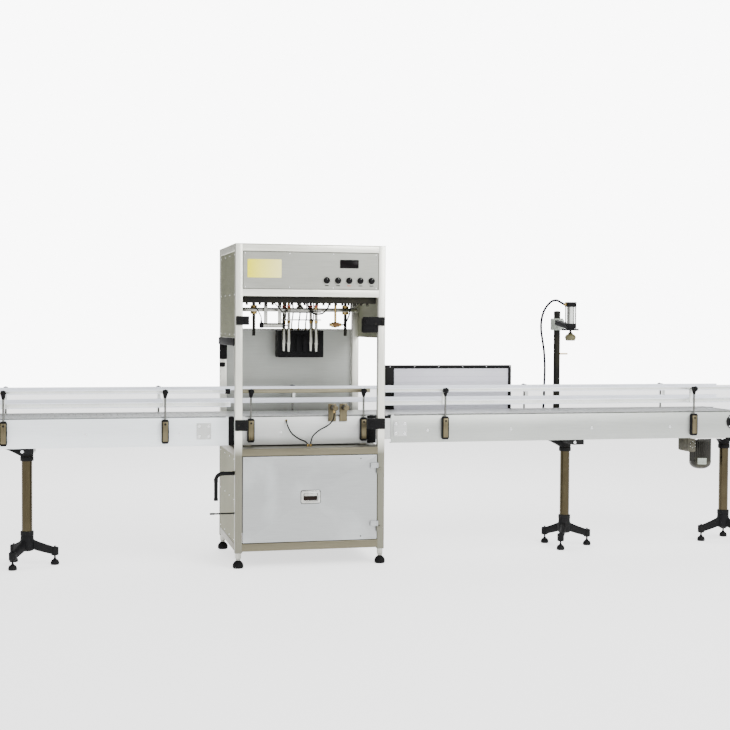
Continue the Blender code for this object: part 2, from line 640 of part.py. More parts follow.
def filling_head():
    """Nozzle beam on its guide rods, two nozzle pairs under it, and the lift cylinder above."""
    half = BEAM_LENGTH / 2
    beam = box((CABINET_MIDDLE - half, -BEAM_WIDTH / 2, BEAM_MIDDLE - BEAM_HEIGHT / 2),
               (CABINET_MIDDLE + half, BEAM_WIDTH / 2, BEAM_MIDDLE + BEAM_HEIGHT / 2))
    holes = [rod((x, 0, BEAM_MIDDLE - BEAM_HEIGHT), (x, 0, BEAM_MIDDLE + BEAM_HEIGHT),
                 GUIDE_ROD_RADIUS + 2 * ROD_CLEARANCE, 14) for x in guide_rod_places()]
    cut(beam, holes)
    lift_bottom = HEAD_BOTTOM + PLATE + GAP
    lift_rod = rod((CABINET_MIDDLE, 0, BEAM_MIDDLE),
                   (CABINET_MIDDLE, 0, lift_bottom + LIFT_STROKE + 2 * SHEET),
                   LIFT_ROD_RADIUS)
    finish("nozzle_beam", join([beam, lift_rod]), CHROME)

    bore = LIFT_ROD_RADIUS + 2 * ROD_CLEARANCE
    bore_top = LIFT_HEIGHT - 4 * PLATE
    profile = [(0.0, LIFT_HEIGHT), (LIFT_RADIUS, LIFT_HEIGHT), (LIFT_RADIUS, 0.0), (bore, 0.0),
               (bore, bore_top), (0.0, bore_top)]
    finish("lift_cylinder", turned(profile, (CABINET_MIDDLE, 0, lift_bottom), steps=16), STEEL)

    plate_top = BEAM_MIDDLE - BEAM_HEIGHT / 2 - GAP
    for side, sign in (("left", -1), ("right", 1)):
        x = CABINET_MIDDLE + sign * NOZZLE_PITCH / 2
        reach_y = LANE_PITCH / 2 + 2 * NOZZLE_RADIUS
        pieces = []
        for top in (plate_top, plate_top - MANIFOLD_DROP):
            pieces.append(box((x - 2 * NOZZLE_RADIUS, -reach_y, top - 2 * PLATE),
                              (x + 2 * NOZZLE_RADIUS, reach_y, top)))
        for y in (-LANE_PITCH / 2, LANE_PITCH / 2):
            tip = BEAM_MIDDLE - NOZZLE_REACH
            pieces.append(rod((x, y, tip + 4 * NOZZLE_RADIUS), (x, y, BEAM_MIDDLE + NOZZLE_TOP_RISE),
                              NOZZLE_RADIUS, 14))
            pieces.append(rod((x, y, tip), (x, y, tip + 4 * NOZZLE_RADIUS + GAP), NOZZLE_RADIUS * 0.6, 14,
                              NOZZLE_RADIUS * 0.8))
        finish(f"nozzle_pair_{side}", join(pieces), STEEL)


def valve_box():
    """Black valve housing on the chamber's back panel."""
    back = BACK - BEAM_SET_BACK - 2 * SHEET - GAP
    left = CABINET_MIDDLE + VALVE_BOX_OFFSET - VALVE_BOX_WIDTH / 2
    housing = box((left, back - VALVE_BOX_DEPTH, VALVE_BOX_BOTTOM),
                  (left + VALVE_BOX_WIDTH, back, VALVE_BOX_TOP))
    return finish("valve_box", housing, BLACK_PAINT)


# ---------------------------------------------------------------- conveyor
def side_channel(start, end, side):
    """Side plate with a lip folded inwards along its lower edge; side is -1 in front, 1 behind."""
    outer = side * PLATE_Y
    inner = side * (PLATE_Y - PLATE)
    lip = side * (PLATE_Y - LIP_WIDTH)
    lip_top = SIDE_PLATE_BOTTOM + PLATE
    outline = [(outer, SIDE_PLATE_TOP), (outer, SIDE_PLATE_BOTTOM), (lip, SIDE_PLATE_BOTTOM),
               (lip, lip_top), (inner, lip_top), (inner, SIDE_PLATE_TOP)]
    return prism([outline], start, end, "X")


def holder(x, side):
    """Square holder with a vertical bore, welded to the side plate, for a guide rail's rod."""
    inner = side * (PLATE_Y - PLATE / 2)
    outer = side * (PLATE_Y + HOLDER_SIZE)
    block = box((x - HOLDER_SIZE / 2, min(inner, outer), HOLDER_BOTTOM),
                (x + HOLDER_SIZE / 2, max(inner, outer), HOLDER_BOTTOM + HOLDER_HEIGHT))
    bore = rod((x, side * HOLDER_Y, HOLDER_BOTTOM - PLATE),
               (x, side * HOLDER_Y, HOLDER_BOTTOM + HOLDER_HEIGHT + PLATE),
               ROD_RADIUS + ROD_CLEARANCE, 12)
    return cut(block, [bore])


def crossbars(start, end, keep_out=0.0):
    """Bars between the side plates, inside the belt's loop, evenly spaced."""
    first = start + CROSSBAR_PITCH / 4 + keep_out
    last = end - CROSSBAR_PITCH / 4
    count = max(2, round((last - first) / CROSSBAR_PITCH) + 1)
    bars = []
    for index in range(count):
        x = first + (last - first) * index / (count - 1)
        middle = SIDE_PLATE_BOTTOM + CROSSBAR_RISE
        bars.append(box((x - CROSSBAR_WIDTH / 2, -PLATE_Y + PLATE / 2, middle - CROSSBAR_HEIGHT / 2),
                        (x + CROSSBAR_WIDTH / 2, PLATE_Y - PLATE / 2, middle + CROSSBAR_HEIGHT / 2)))
    return bars


def section(start, end, brackets, first_bar_shift=0.0, last_bar_shift=0.0):
    """Two side channels, their crossbars and the holders for the rails' rods."""
    pieces = [side_channel(start, end, -1), *crossbars(start + first_bar_shift, end - last_bar_shift),
              side_channel(start, end, 1)]
    for x, side in brackets:
        if start < x < end:
            pieces.append(holder(x, side))
    return pieces


def chamber_bracket_places():
    """X of both brackets of the guide bar inside the chamber."""
    left, right = CHAMBER_BRACKET_INSETS
    return (CABINET_LEFT + left, CABINET_RIGHT - right)


def shaft_hole(x):
    """Cutter for a shaft's holes in both side plates."""
    return rod((x, -2 * PLATE_Y, SHAFT_HEIGHT), (x, 2 * PLATE_Y, SHAFT_HEIGHT),
               SHAFT_RADIUS + 2 * ROD_CLEARANCE, 16)


def splice_bars():
    """Bars behind the side plates that carry on from the middle section into its neighbours."""
    bars = []
    for side in (-1, 1):
        outer = side * (PLATE_Y - PLATE - GAP)
        inner = side * (PLATE_Y - 2 * PLATE)
        weld = side * (PLATE_Y - PLATE / 2)
        for outside, plate_end, inside in (
                (INFEED_END - SPLICE_REACH, MIDDLE_START, MIDDLE_START + SPLICE_REACH),
                (OUTFEED_START + SPLICE_REACH, MIDDLE_END, MIDDLE_END - SPLICE_REACH)):
            bars.append(box((min(outside, inside), min(inner, outer), SPLICE_BOTTOM),
                            (max(outside, inside), max(inner, outer), SPLICE_TOP)))
            bars.append(box((min(plate_end, inside), min(inner, weld), SPLICE_BOTTOM + PLATE),
                            (max(plate_end, inside), max(inner, weld), SPLICE_TOP - PLATE)))
    return bars


def conveyor_frames():
    """Three frame sections: before, inside and after the cabinet."""
    back = [(x, 1) for x in BACK_BRACKETS]
    infeed = join(section(CONVEYOR_LEFT, INFEED_END, [(x, -1) for x in FRONT_BRACKETS_INFEED] + back,
                          SHAFT_END_DISTANCE))
    cut(infeed, [shaft_hole(IDLER_X)])
    finish("conveyor_frame_infeed", infeed, PALE_PLATE)

    pieces = section(MIDDLE_START, MIDDLE_END, [(x, -1) for x in chamber_bracket_places()] + back)
    pieces += splice_bars()
    for x in (MIDDLE_START + LIP_WIDTH, MIDDLE_END - LIP_WIDTH):
        for side in (-1, 1):
            y = side * (PLATE_Y - LIP_WIDTH / 2)
            pieces.append(box((x - LIP_WIDTH / 2, y - LIP_WIDTH / 3, DECK_TOP + PLATE + 2 * GAP),
                              (x + LIP_WIDTH / 2, y + LIP_WIDTH / 3, SIDE_PLATE_BOTTOM + PLATE / 2)))
    for x in STOP_POSITIONS:
        bracket = box((x - 1.4 * STOP_RADIUS, -PLATE_Y - STOP_BRACKET, SIDE_PLATE_TOP - 2 * STOP_RADIUS),
                      (x + 1.4 * STOP_RADIUS, -PLATE_Y + PLATE / 2, STOP_HEIGHT + 1.2 * STOP_RADIUS))
        opening = rod((x, -PLATE_Y - 2 * STOP_BRACKET, STOP_HEIGHT),
                      (x, -PLATE_Y + STOP_BRACKET, STOP_HEIGHT),
                      STOP_ROD_RADIUS + ROD_CLEARANCE, 12)
        pieces.append(cut(bracket, [opening]))
    finish("conveyor_frame_middle", join(pieces), PALE_PLATE)

    pieces = section(OUTFEED_START, CONVEYOR_RIGHT, [(x, -1) for x in FRONT_BRACKETS_OUTFEED] + back, 0.0,
                     SHAFT_END_DISTANCE)
    pieces.append(box((PRESS_POST_X - 1.8 * PRESS_POST_RADIUS, PLATE_Y - PLATE / 2,
                       SIDE_PLATE_BOTTOM + LIP_WIDTH / 2),
                      (PRESS_POST_X + 1.8 * PRESS_POST_RADIUS, PRESS_POST_Y + 1.4 * PRESS_POST_RADIUS,
                       SIDE_PLATE_BOTTOM + LIP_WIDTH / 2 + PRESS_SOCKET_HEIGHT)))
    outfeed = join(pieces)
    cut(outfeed, [shaft_hole(DRIVE_X)])
    finish("conveyor_frame_outfeed", outfeed, PALE_PLATE)


def belt_loop(radius):
    """Outline of the belt's loop round both pulleys, as (X, Z) points."""
    outline = []
    for centre, start in ((DRIVE_X, -math.pi / 2), (IDLER_X, math.pi / 2)):
        for step in range(PULLEY_STEPS // 2 + 1):
            angle = start + 2 * math.pi * step / PULLEY_STEPS
            outline.append((centre + radius * math.cos(angle), SHAFT_HEIGHT + radius * math.sin(angle)))
    return outline


def belt_and_shafts():
    """Endless slat belt, and the drive and idler shafts with their pulleys."""
    inner = PULLEY_RADIUS + BELT_CLEARANCE
    loops = [belt_loop(inner + BELT_THICKNESS), belt_loop(inner)]
    finish("conveyor_belt", prism(loops, -BELT_WIDTH / 2, BELT_WIDTH / 2, "Y"), PALE_PLATE)
    half = PLATE_Y + SHAFT_OVERHANG
    drum = BELT_WIDTH / 2
    profile = [(0.0, half), (SHAFT_RADIUS, half), (SHAFT_RADIUS, drum), (PULLEY_RADIUS, drum),
               (PULLEY_RADIUS, -drum), (SHAFT_RADIUS, -drum), (SHAFT_RADIUS, -half), (0.0, -half)]
    for name, x in (("drive_shaft", DRIVE_X), ("idler_shaft", IDLER_X)):
        shaft = turned(profile, (x, 0, SHAFT_HEIGHT), facing_front=True, steps=PULLEY_STEPS)
        finish(name, shaft, STEEL)


def legs():
    """Round posts with a cast saddle under the belt frame, each on a three-armed base."""
    saddle_top = SIDE_PLATE_BOTTOM - GAP
    saddle_bottom = saddle_top - SADDLE_HEIGHT
    places = zip(LEG_POSITIONS, LEG_ANGLES, SADDLE_GUSSETS)
    for number, (x, turn, reach) in enumerate(places, start=1):
        post = rod((x, 0, LEG_HUB_TOP + GAP), (x, 0, saddle_top - SADDLE_HEIGHT / 2), LEG_RADIUS, 20)
        saddle = box((x - SADDLE_WIDTH / 2, -PLATE_Y + PLATE, saddle_bottom + SADDLE_HEIGHT / 2),
                     (x + SADDLE_WIDTH / 2, PLATE_Y - PLATE, saddle_top))
        collar = rod((x, 0, saddle_bottom), (x, 0, saddle_top - PLATE), 1.25 * LEG_RADIUS, 20)
        gusset = box((x - reach, -LEG_RADIUS, saddle_bottom + PLATE), (x, LEG_RADIUS, saddle_top - PLATE))
        finish(f"leg_post_{number}", join([saddle, collar, gusset, post]), STEEL)

        pieces = [rod((x, 0, LEG_HUB_BOTTOM), (x, 0, LEG_HUB_TOP), LEG_HUB_RADIUS, 20,
                      0.9 * LEG_HUB_RADIUS)]
        for arm in range(3):
            angle = turn + arm * 2 * math.pi / 3
            outward = Vector((math.cos(angle), math.sin(angle), 0.0))
            foot = Vector((x, 0, 0)) + LEG_ARM_REACH * outward
            root = Vector((x, 0, (LEG_HUB_TOP + LEG_HUB_BOTTOM) / 2)) + 0.5 * LEG_HUB_RADIUS * outward
            tip = foot + Vector((0, 0, LEG_TIP_HEIGHT))
            half_boss = Vector((0, 0, 0.7 * LEG_ARM_WIDTH))
            pieces.append(rod(root, tip, 0.75 * LEG_ARM_WIDTH, 8, 0.6 * LEG_ARM_WIDTH))
            pieces.append(rod(tip - half_boss, tip + half_boss, 0.65 * LEG_ARM_WIDTH, 12))
            pieces.append(rod(foot, foot + Vector((0, 0, LEG_PAD_HEIGHT)), LEG_PAD_RADIUS, 14,
                              0.7 * LEG_PAD_RADIUS))
            pieces.append(rod(foot + Vector((0, 0, LEG_PAD_HEIGHT / 2)), tip, 0.4 * LEG_PAD_RADIUS, 10))
        finish(f"leg_base_{number}", join(pieces), BLACK_PAINT)


def gearmotor():
    """Gearbox on its mounting plate under the belt frame, and the upright motor beside it."""
    top = SIDE_PLATE_BOTTOM - GAP
    gearbox_right = GEARBOX_LEFT + GEARBOX_WIDTH
    motor_x = gearbox_right + GAP + MOTOR_RADIUS
    plate = box((GEARBOX_LEFT - 2 * MOTOR_PLATE, -PLATE_Y + LIP_WIDTH / 2, top - MOTOR_PLATE),
                (motor_x + MOTOR_RADIUS, PLATE_Y - LIP_WIDTH / 2, top))
    casing = box((GEARBOX_LEFT, -GEARBOX_DEPTH / 2, top - GEARBOX_HEIGHT),
                 (gearbox_right, GEARBOX_DEPTH / 2, top - MOTOR_PLATE / 2))
    flange_start = (GEARBOX_LEFT + GEARBOX_WIDTH / 2, -GEARBOX_DEPTH / 2 + PLATE, top - GEARBOX_HEIGHT / 2)
    flange_end = (flange_start[0], -GEARBOX_DEPTH / 2 - 4 * PLATE, flange_start[2])
    flange = rod(flange_start, flange_end, 0.4 * GEARBOX_WIDTH, 20)
    finish("gearbox", join([plate, casing, flange]), GREY_PAINT)

    fin = MOTOR_HEIGHT / (2 * MOTOR_FINS + 2)
    fin_root = 0.93 * MOTOR_RADIUS
    profile = [(0.0, MOTOR_HEIGHT), (MOTOR_RADIUS, MOTOR_HEIGHT)]
    for index in range(MOTOR_FINS):
        step_top = MOTOR_HEIGHT - (2 * index + 1) * fin
        profile += [(MOTOR_RADIUS, step_top), (fin_root, step_top),
                    (fin_root, step_top - fin), (MOTOR_RADIUS, step_top - fin)]
    profile += [(MOTOR_RADIUS, fin / 2), (0.9 * MOTOR_RADIUS, 0.0), (0.0, 0.0)]
    bottom = top - MOTOR_PLATE - GAP - MOTOR_HEIGHT
    finish("motor", turned(profile, (motor_x, 0, bottom), steps=16), GREY_PAINT)


# ---------------------------------------------------------------- guide rails
def rail_piece(start, end, brackets, side, rails):
    """Rails of one side with the clamps and upright rods that carry them."""
    middle = side * RAIL_Y
    pieces = [box((start, middle - RAIL_DEPTH / 2, low), (end, middle + RAIL_DEPTH / 2, low + height))
              for low, height in rails]
    low_end = min(low for low, height in rails)
    high_end = max(low + height for low, height in rails)
    clamp_z = high_end - UPPER_RAIL_HEIGHT / 2
    for x in brackets:
        inner = side * (RAIL_Y + RAIL_DEPTH / 4)
        strap = side * (RAIL_Y + RAIL_DEPTH)
        outer = side * HOLDER_Y
        pieces.append(box((x - CLAMP_SIZE / 3, min(inner, strap), low_end + PLATE),
                          (x + CLAMP_SIZE / 3, max(inner, strap), high_end - PLATE)))
        pieces.append(rod((x, inner, clamp_z), (x, outer + side * CLAMP_SIZE, clamp_z), ROD_RADIUS, 10))
        pieces.append(rod((x, outer, HOLDER_BOTTOM + HOLDER_HEIGHT / 3), (x, outer, clamp_z), ROD_RADIUS))
        pieces.append(box((x - CLAMP_SIZE / 2, outer - CLAMP_SIZE / 2, clamp_z - CLAMP_SIZE / 2),
                          (x + CLAMP_SIZE / 2, outer + CLAMP_SIZE / 2, clamp_z + CLAMP_SIZE / 2)))
    return join(pieces)


def guide_rails():
    """Front rails before and after the cabinet, the bar inside it, and the long back rails."""
    both = ((UPPER_RAIL_BOTTOM, UPPER_RAIL_HEIGHT), (LOWER_RAIL_BOTTOM, LOWER_RAIL_HEIGHT))
    upper = both[:1]
    finish("infeed_guide_rail",
           rail_piece(CONVEYOR_LEFT + RAIL_END_GAP, CABINET_LEFT - RAIL_END_GAP, FRONT_BRACKETS_INFEED, -1,
                      both),
           WHITE_PLASTIC)
    finish("chamber_guide_bar",
           rail_piece(INNER_LEFT + RAIL_END_GAP, INNER_RIGHT - RAIL_END_GAP, chamber_bracket_places(), -1,
                      upper), STEEL)
    finish("outfeed_guide_rail",
           rail_piece(CABINET_RIGHT + RAIL_END_GAP, CONVEYOR_RIGHT, FRONT_BRACKETS_OUTFEED, -1,
                      both), WHITE_PLASTIC)
    finish("back_guide_rail",
           rail_piece(CONVEYOR_LEFT + RAIL_END_GAP, CONVEYOR_RIGHT, BACK_BRACKETS, 1, both), WHITE_PLASTIC)


# ---------------------------------------------------------------- bottle stops
def bottle_stops():
    """Two small air cylinders in front of the chamber's belt, with their rods and air hoses."""
    back = -PLATE_Y - STOP_BRACKET - GAP
    bore = STOP_ROD_RADIUS + ROD_CLEARANCE
    depth = STOP_LENGTH - 2 * STOP_BRACKET
    profile = [(0.0, STOP_LENGTH), (STOP_RADIUS, STOP_LENGTH), (STOP_RADIUS, 0.0), (bore, 0.0),
               (bore, depth), (0.0, depth)]
    for number, x in enumerate(STOP_POSITIONS, start=1):
        finish(f"stop_cylinder_{number}", turned(profile, (x, back, STOP_HEIGHT), facing_front=True,
                                                 steps=16), CHROME)
        tip = -RAIL_Y + RAIL_DEPTH / 2
        button = rod((x, tip - RAIL_DEPTH, STOP_HEIGHT), (x, tip, STOP_HEIGHT), 2 * STOP_ROD_RADIUS, 12)
        stem = rod((x, back - STOP_STROKE - GAP, STOP_HEIGHT), (x, tip - GAP, STOP_HEIGHT), STOP_ROD_RADIUS)
        finish(f"stop_rod_{number}", join([stem, button]), CHROME)

    deck = DECK_TOP + PLATE + 5 * GAP
    plate_face = -PLATE_Y - GAP
    left_route = [(-0.564, plate_face - GAP, 0.806), (-0.564, plate_face - 0.010, 0.806),
                  (-0.562, plate_face - 0.028, 0.782),
                  (-0.540, plate_face - 0.038, 0.737), (-0.500, plate_face - 0.040, 0.705),
                  (-0.462, plate_face - 0.040, 0.688), (-0.448, plate_face - 0.040, deck + 0.010),
                  (-0.446, plate_face - 0.040, deck)]
    right_route = [(STOP_POSITIONS[0], plate_face - 0.060, STOP_HEIGHT - STOP_RADIUS - GAP),
                   (STOP_POSITIONS[0], plate_face - 0.060, 0.840), (-0.306, plate_face - 0.055, 0.808),
                   (-0.332, plate_face - 0.045, 0.778), (-0.378, plate_face - 0.040, 0.752),
                   (-0.416, plate_face - 0.040, 0.720), (-0.428, plate_face - 0.040, 0.690),
                   (-0.430, plate_face - 0.040, deck + 0.010), (-0.430, plate_face - 0.040, deck)]
    finish("stop_hose_1", tube(smooth_route(left_route, 0.018), HOSE_RADIUS), RUBBER)
    finish("stop_hose_2", tube(smooth_route(right_route, 0.018), HOSE_RADIUS), RUBBER)


# ---------------------------------------------------------------- outfeed stations
def light_box():
    """Flat inspection box behind the outfeed belt, with a recessed front and two hangers."""
    front = PLATE_Y + LIGHT_BOX_SET_BACK
    right = LIGHT_BOX_LEFT + LIGHT_BOX_WIDTH
    casing = box((LIGHT_BOX_LEFT, front, LIGHT_BOX_BOTTOM), (right, front + LIGHT_BOX_DEPTH, LIGHT_BOX_TOP))
    recess = box((LIGHT_BOX_LEFT + LIGHT_BOX_LEFT_BORDER, front - LIGHT_BOX_RECESS,
                  LIGHT_BOX_BOTTOM + LIGHT_BOX_BORDER),
                 (right - LIGHT_BOX_BORDER, front + LIGHT_BOX_RECESS, LIGHT_BOX_TOP - LIGHT_BOX_BORDER))
    cut(casing, [recess])
    hangers = []
    for x in (LIGHT_BOX_LEFT + LIGHT_BOX_WIDTH / 5, right - LIGHT_BOX_WIDTH / 5):
        hangers.append(box((x - LIP_WIDTH / 2, PLATE_Y + GAP, SIDE_PLATE_BOTTOM + LIP_WIDTH),
                           (x + LIP_WIDTH / 2, front + LIGHT_BOX_DEPTH / 2,
                            LIGHT_BOX_BOTTOM - LIP_WIDTH / 2)))
        hangers.append(box((x - LIP_WIDTH / 3, front + PLATE, LIGHT_BOX_BOTTOM - LIP_WIDTH),
                           (x + LIP_WIDTH / 3, front + LIGHT_BOX_DEPTH / 2 - PLATE,
                            LIGHT_BOX_BOTTOM + PLATE)))
    return finish("light_box", join([casing, *hangers]), BLACK_PAINT)


def press_station():
    """Post, clamp arm, tie-rod air cylinder and press rod with its cone pad."""
    socket_top = SIDE_PLATE_BOTTOM + LIP_WIDTH / 2 + PRESS_SOCKET_HEIGHT
    post = rod((PRESS_POST_X, PRESS_POST_Y, socket_top + GAP), (PRESS_POST_X, PRESS_POST_Y, PRESS_POST_TOP),
               PRESS_POST_RADIUS, 20)
    finish("press_post", post, BLACK_PAINT)

    clamp_top = CLAMP_BOTTOM + CLAMP_HEIGHT
    cylinder_bottom = clamp_top - CLAMP_HEIGHT + ARM_PLATE
    half = CLAMP_WIDTH / 2
    clamp = box((PRESS_POST_X - half, PRESS_POST_Y - half, CLAMP_BOTTOM),
                (PRESS_POST_X + half, PRESS_POST_Y + half, clamp_top))
    bore = rod((PRESS_POST_X, PRESS_POST_Y, CLAMP_BOTTOM - PLATE),
               (PRESS_POST_X, PRESS_POST_Y, clamp_top + PLATE),
               PRESS_POST_RADIUS + ROD_CLEARANCE, 20)
    cut(clamp, [bore])
    arm_x = (PRESS_X + PRESS_POST_X) / 2
    arm = box((arm_x - ARM_WIDTH / 2, PRESS_Y + PRESS_CAP_SIZE, CLAMP_BOTTOM + PLATE),
              (arm_x + ARM_WIDTH / 2, PRESS_POST_Y - half + PLATE, clamp_top - PLATE))
    seat = box((PRESS_X - PRESS_CAP_SIZE / 2 - PLATE, PRESS_Y - PRESS_CAP_SIZE / 2 - PLATE, CLAMP_BOTTOM),
               (arm_x + ARM_WIDTH / 2 + PLATE, PRESS_Y + PRESS_CAP_SIZE + 2 * PLATE, cylinder_bottom - GAP))
    passage = rod((PRESS_X, PRESS_Y, CLAMP_BOTTOM - PLATE), (PRESS_X, PRESS_Y, clamp_top),
                  PRESS_ROD_RADIUS + 2 * PRESS_BORE_CLEARANCE, 14)
    finish("press_arm", cut(join([clamp, arm, seat]), [passage]), GREY_PAINT)

    cap = PRESS_CAP_SIZE / 2
    pieces = [box((PRESS_X - cap, PRESS_Y - cap, cylinder_bottom),
                  (PRESS_X + cap, PRESS_Y + cap, cylinder_bottom + PRESS_CAP_HEIGHT)),
              box((PRESS_X - cap, PRESS_Y - cap, PRESS_CYLINDER_TOP - PRESS_CAP_HEIGHT),
                  (PRESS_X + cap, PRESS_Y + cap, PRESS_CYLINDER_TOP)),
              rod((PRESS_X, PRESS_Y, cylinder_bottom + PLATE),
                  (PRESS_X, PRESS_Y, PRESS_CYLINDER_TOP - PLATE),
                  PRESS_BARREL_RADIUS, 20)]
    corner = cap - 2 * PLATE
    for dx in (-corner, corner):
        for dy in (-corner, corner):
            pieces.append(rod((PRESS_X + dx, PRESS_Y + dy, cylinder_bottom + PLATE),
                              (PRESS_X + dx, PRESS_Y + dy, PRESS_CYLINDER_TOP - PLATE), PLATE, 8))
    bore = rod((PRESS_X, PRESS_Y, cylinder_bottom - PLATE),
               (PRESS_X, PRESS_Y, PRESS_CYLINDER_TOP - PRESS_CAP_HEIGHT / 2),
               PRESS_ROD_RADIUS + 2 * PRESS_BORE_CLEARANCE, 14)
    finish("press_cylinder", cut(join(pieces), [bore]), STEEL)

    rod_top = PRESS_CYLINDER_TOP - PRESS_CAP_HEIGHT / 2 - 2 * PLATE
    middle = (PRESS_PAD_TOP + PRESS_PAD_BOTTOM) / 2
    profile = [(0.0, rod_top), (PRESS_ROD_RADIUS, rod_top), (PRESS_ROD_RADIUS, PRESS_PAD_TOP),
               (0.7 * PRESS_PAD_RADIUS, PRESS_PAD_TOP - PLATE), (PRESS_PAD_RADIUS, middle),
               (0.8 * PRESS_PAD_RADIUS, PRESS_PAD_BOTTOM), (0.0, PRESS_PAD_BOTTOM)]
    finish("press_rod", turned(profile, (PRESS_X, PRESS_Y, 0.0), steps=20), PAD_RUBBER)

    hose_end = PLATE_Y + PRESS_HOSE_RADIUS + 2 * PLATE
    start_x = PRESS_X - PRESS_CAP_SIZE / 2 - GAP
    port = PRESS_CYLINDER_TOP - PRESS_CAP_HEIGHT / 2
    route = [(start_x - GAP, PRESS_Y, port), (start_x - 0.012, PRESS_Y, port),
             (start_x - 0.030, -0.068, port + 0.012),
             (1.118, -0.045, 1.500),
             (1.092, -0.018, 1.488), (1.070, 0.025, 1.440), (1.068, 0.065, 1.380), (1.084, 0.110, 1.318),
             (1.112, 0.155, 1.250), (1.136, 0.190, 1.180), (1.150, 0.212, 1.080), (1.152, hose_end, 0.980),
             (1.150, hose_end, 0.880), (1.148, hose_end + 0.010, 0.800), (1.148, hose_end + 0.004, 0.772),
             (1.148, PLATE_Y + 0.010, 0.762), (1.148, PLATE_Y + 2 * GAP, 0.762)]
    finish("press_hose", tube(smooth_route(route, 0.030), PRESS_HOSE_RADIUS), RUBBER)


# ---------------------------------------------------------------- assembly
clear_scene()
PARTS = make_collection("capping_machine")
GUIDES = make_collection("guides", hidden=True)
cabinet_frame()
flat_panels()
head_top_cover()
head_floor_plate()
front_door()
knobs()
counter_display()
levelling_feet()
side_pipes()
filling_head()
valve_box()
conveyor_frames()
belt_and_shafts()
legs()
gearmotor()
guide_rails()
bottle_stops()
light_box()
press_station()
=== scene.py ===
"""Looks of the bottle filling and capping line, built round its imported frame.

Metres, +Z up. Every new piece is a skin of rings: an array of closed outlines, each carried to the
next. An outline is a circle, a rounded rectangle or a folded sheet's section, worked out with numpy.
"""
import math

import bpy
import numpy as np
from mathutils import Matrix, Vector


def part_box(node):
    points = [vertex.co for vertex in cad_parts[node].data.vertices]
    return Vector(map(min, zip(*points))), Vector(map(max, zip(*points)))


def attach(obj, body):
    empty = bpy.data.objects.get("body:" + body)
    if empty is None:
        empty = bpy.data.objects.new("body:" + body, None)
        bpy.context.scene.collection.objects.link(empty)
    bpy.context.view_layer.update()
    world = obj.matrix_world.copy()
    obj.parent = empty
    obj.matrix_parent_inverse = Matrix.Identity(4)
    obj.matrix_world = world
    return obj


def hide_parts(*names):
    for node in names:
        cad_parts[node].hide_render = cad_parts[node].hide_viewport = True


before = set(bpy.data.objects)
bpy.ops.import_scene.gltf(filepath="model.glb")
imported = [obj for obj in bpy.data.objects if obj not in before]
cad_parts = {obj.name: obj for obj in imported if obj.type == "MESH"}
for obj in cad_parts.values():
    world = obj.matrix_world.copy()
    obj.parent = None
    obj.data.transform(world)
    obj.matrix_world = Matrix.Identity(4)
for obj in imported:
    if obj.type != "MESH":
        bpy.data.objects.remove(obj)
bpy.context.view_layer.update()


def span(node):
    """Lowest and highest corner of a frame node, as arrays."""
    low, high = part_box(node)
    return np.array(low), np.array(high)


def node_middle(node):
    """Middle of a frame node's box."""
    low, high = span(node)
    return (low + high) / 2


# ---------------------------------------------------------------- places on the frame
COVER_LOW, COVER_HIGH = span("head_top_cover")
FRAME_LOW, FRAME_HIGH = span("cabinet_frame")
PANEL_LOW, PANEL_HIGH = span("head_front_panel")
DOOR_LOW, DOOR_HIGH = span("front_door")
DECK_LOW, DECK_HIGH = span("deck_plate")
PULL_LOW, PULL_HIGH = span("door_pull")
BELT_LOW, BELT_HIGH = span("conveyor_belt")

LEFT, FRONT, HEAD_BOTTOM = COVER_LOW
RIGHT = COVER_HIGH[0]
BACK, TOP = FRAME_HIGH[1], FRAME_HIGH[2]
MIDDLE = (LEFT + RIGHT) / 2
TUBE = 0.040
SHEET = 0.002
PLATE = 0.003
GAP = 0.0004
REVEAL = 0.003
INNER_LEFT, INNER_RIGHT = LEFT + TUBE, RIGHT - TUBE
PANEL_FACE = PANEL_LOW[1]
PLATE_Y = BELT_HIGH[1] + 0.025
RAIL_Y = BELT_HIGH[1] - 0.013
HOLDER_Y = PLATE_Y + 0.015
SHAFT_Z = (BELT_LOW[2] + BELT_HIGH[2]) / 2
INFEED = (span("conveyor_frame_infeed")[0][0], LEFT - 0.017)
OUTFEED = (RIGHT + 0.071, span("conveyor_frame_outfeed")[1][0])
SECTION = (INNER_LEFT + 0.016, INNER_RIGHT - 0.016)
SIDE_LOW = span("conveyor_frame_infeed")[0][2]
SIDE_TOP = span("conveyor_frame_infeed")[1][2]
HOLDER_LOW, HOLDER_TOP = 0.690, 0.815
FRONT_BRACKETS = {"infeed_guide_rail": (-2.100, -1.241), "outfeed_guide_rail": (0.368, 1.945),
                  "chamber_guide_bar": (LEFT + 0.104, RIGHT - 0.095)}
BACK_BRACKETS = (-2.100, -1.241, -0.447, 1.020, 1.945)
LEGS = (-1.981, 1.203, 2.274)
LEG_TURNS = (0.0, 0.0, math.pi)
STOPS = (-0.300, -0.235)
HINGE_X, HINGE_Y = INNER_RIGHT - REVEAL / 2, FRONT - 0.0065
HINGES = (DOOR_LOW[2] + 0.045, DOOR_HIGH[2] - 0.105)
HINGE_RADIUS, HINGE_BORE = 0.005, 0.0035
PLATE_LEFT, PLATE_WIDTH, PLATE_LOW, PLATE_HIGH = -0.805, 0.189, 1.602, 1.703
BEAM_Z = 1.430
AIR_CYLINDER_Z = 1.340
FITTINGS_Y = -0.150
VALVE_X, VALVE_Z = -0.270, 1.345
LINE_TOP = 1.476
HOLDER_SIZE, HOLDER_BORE = 0.030, 0.0068
RAIL_ROD_RADIUS = 0.0058
RAIL_LEVELS = ((0.958, 0.023), (0.882, 0.030))
SLAT_PITCH, SLAT_GAP = 0.0381, 0.0012
LEG_RADIUS, HUB_TOP = 0.029, 0.168
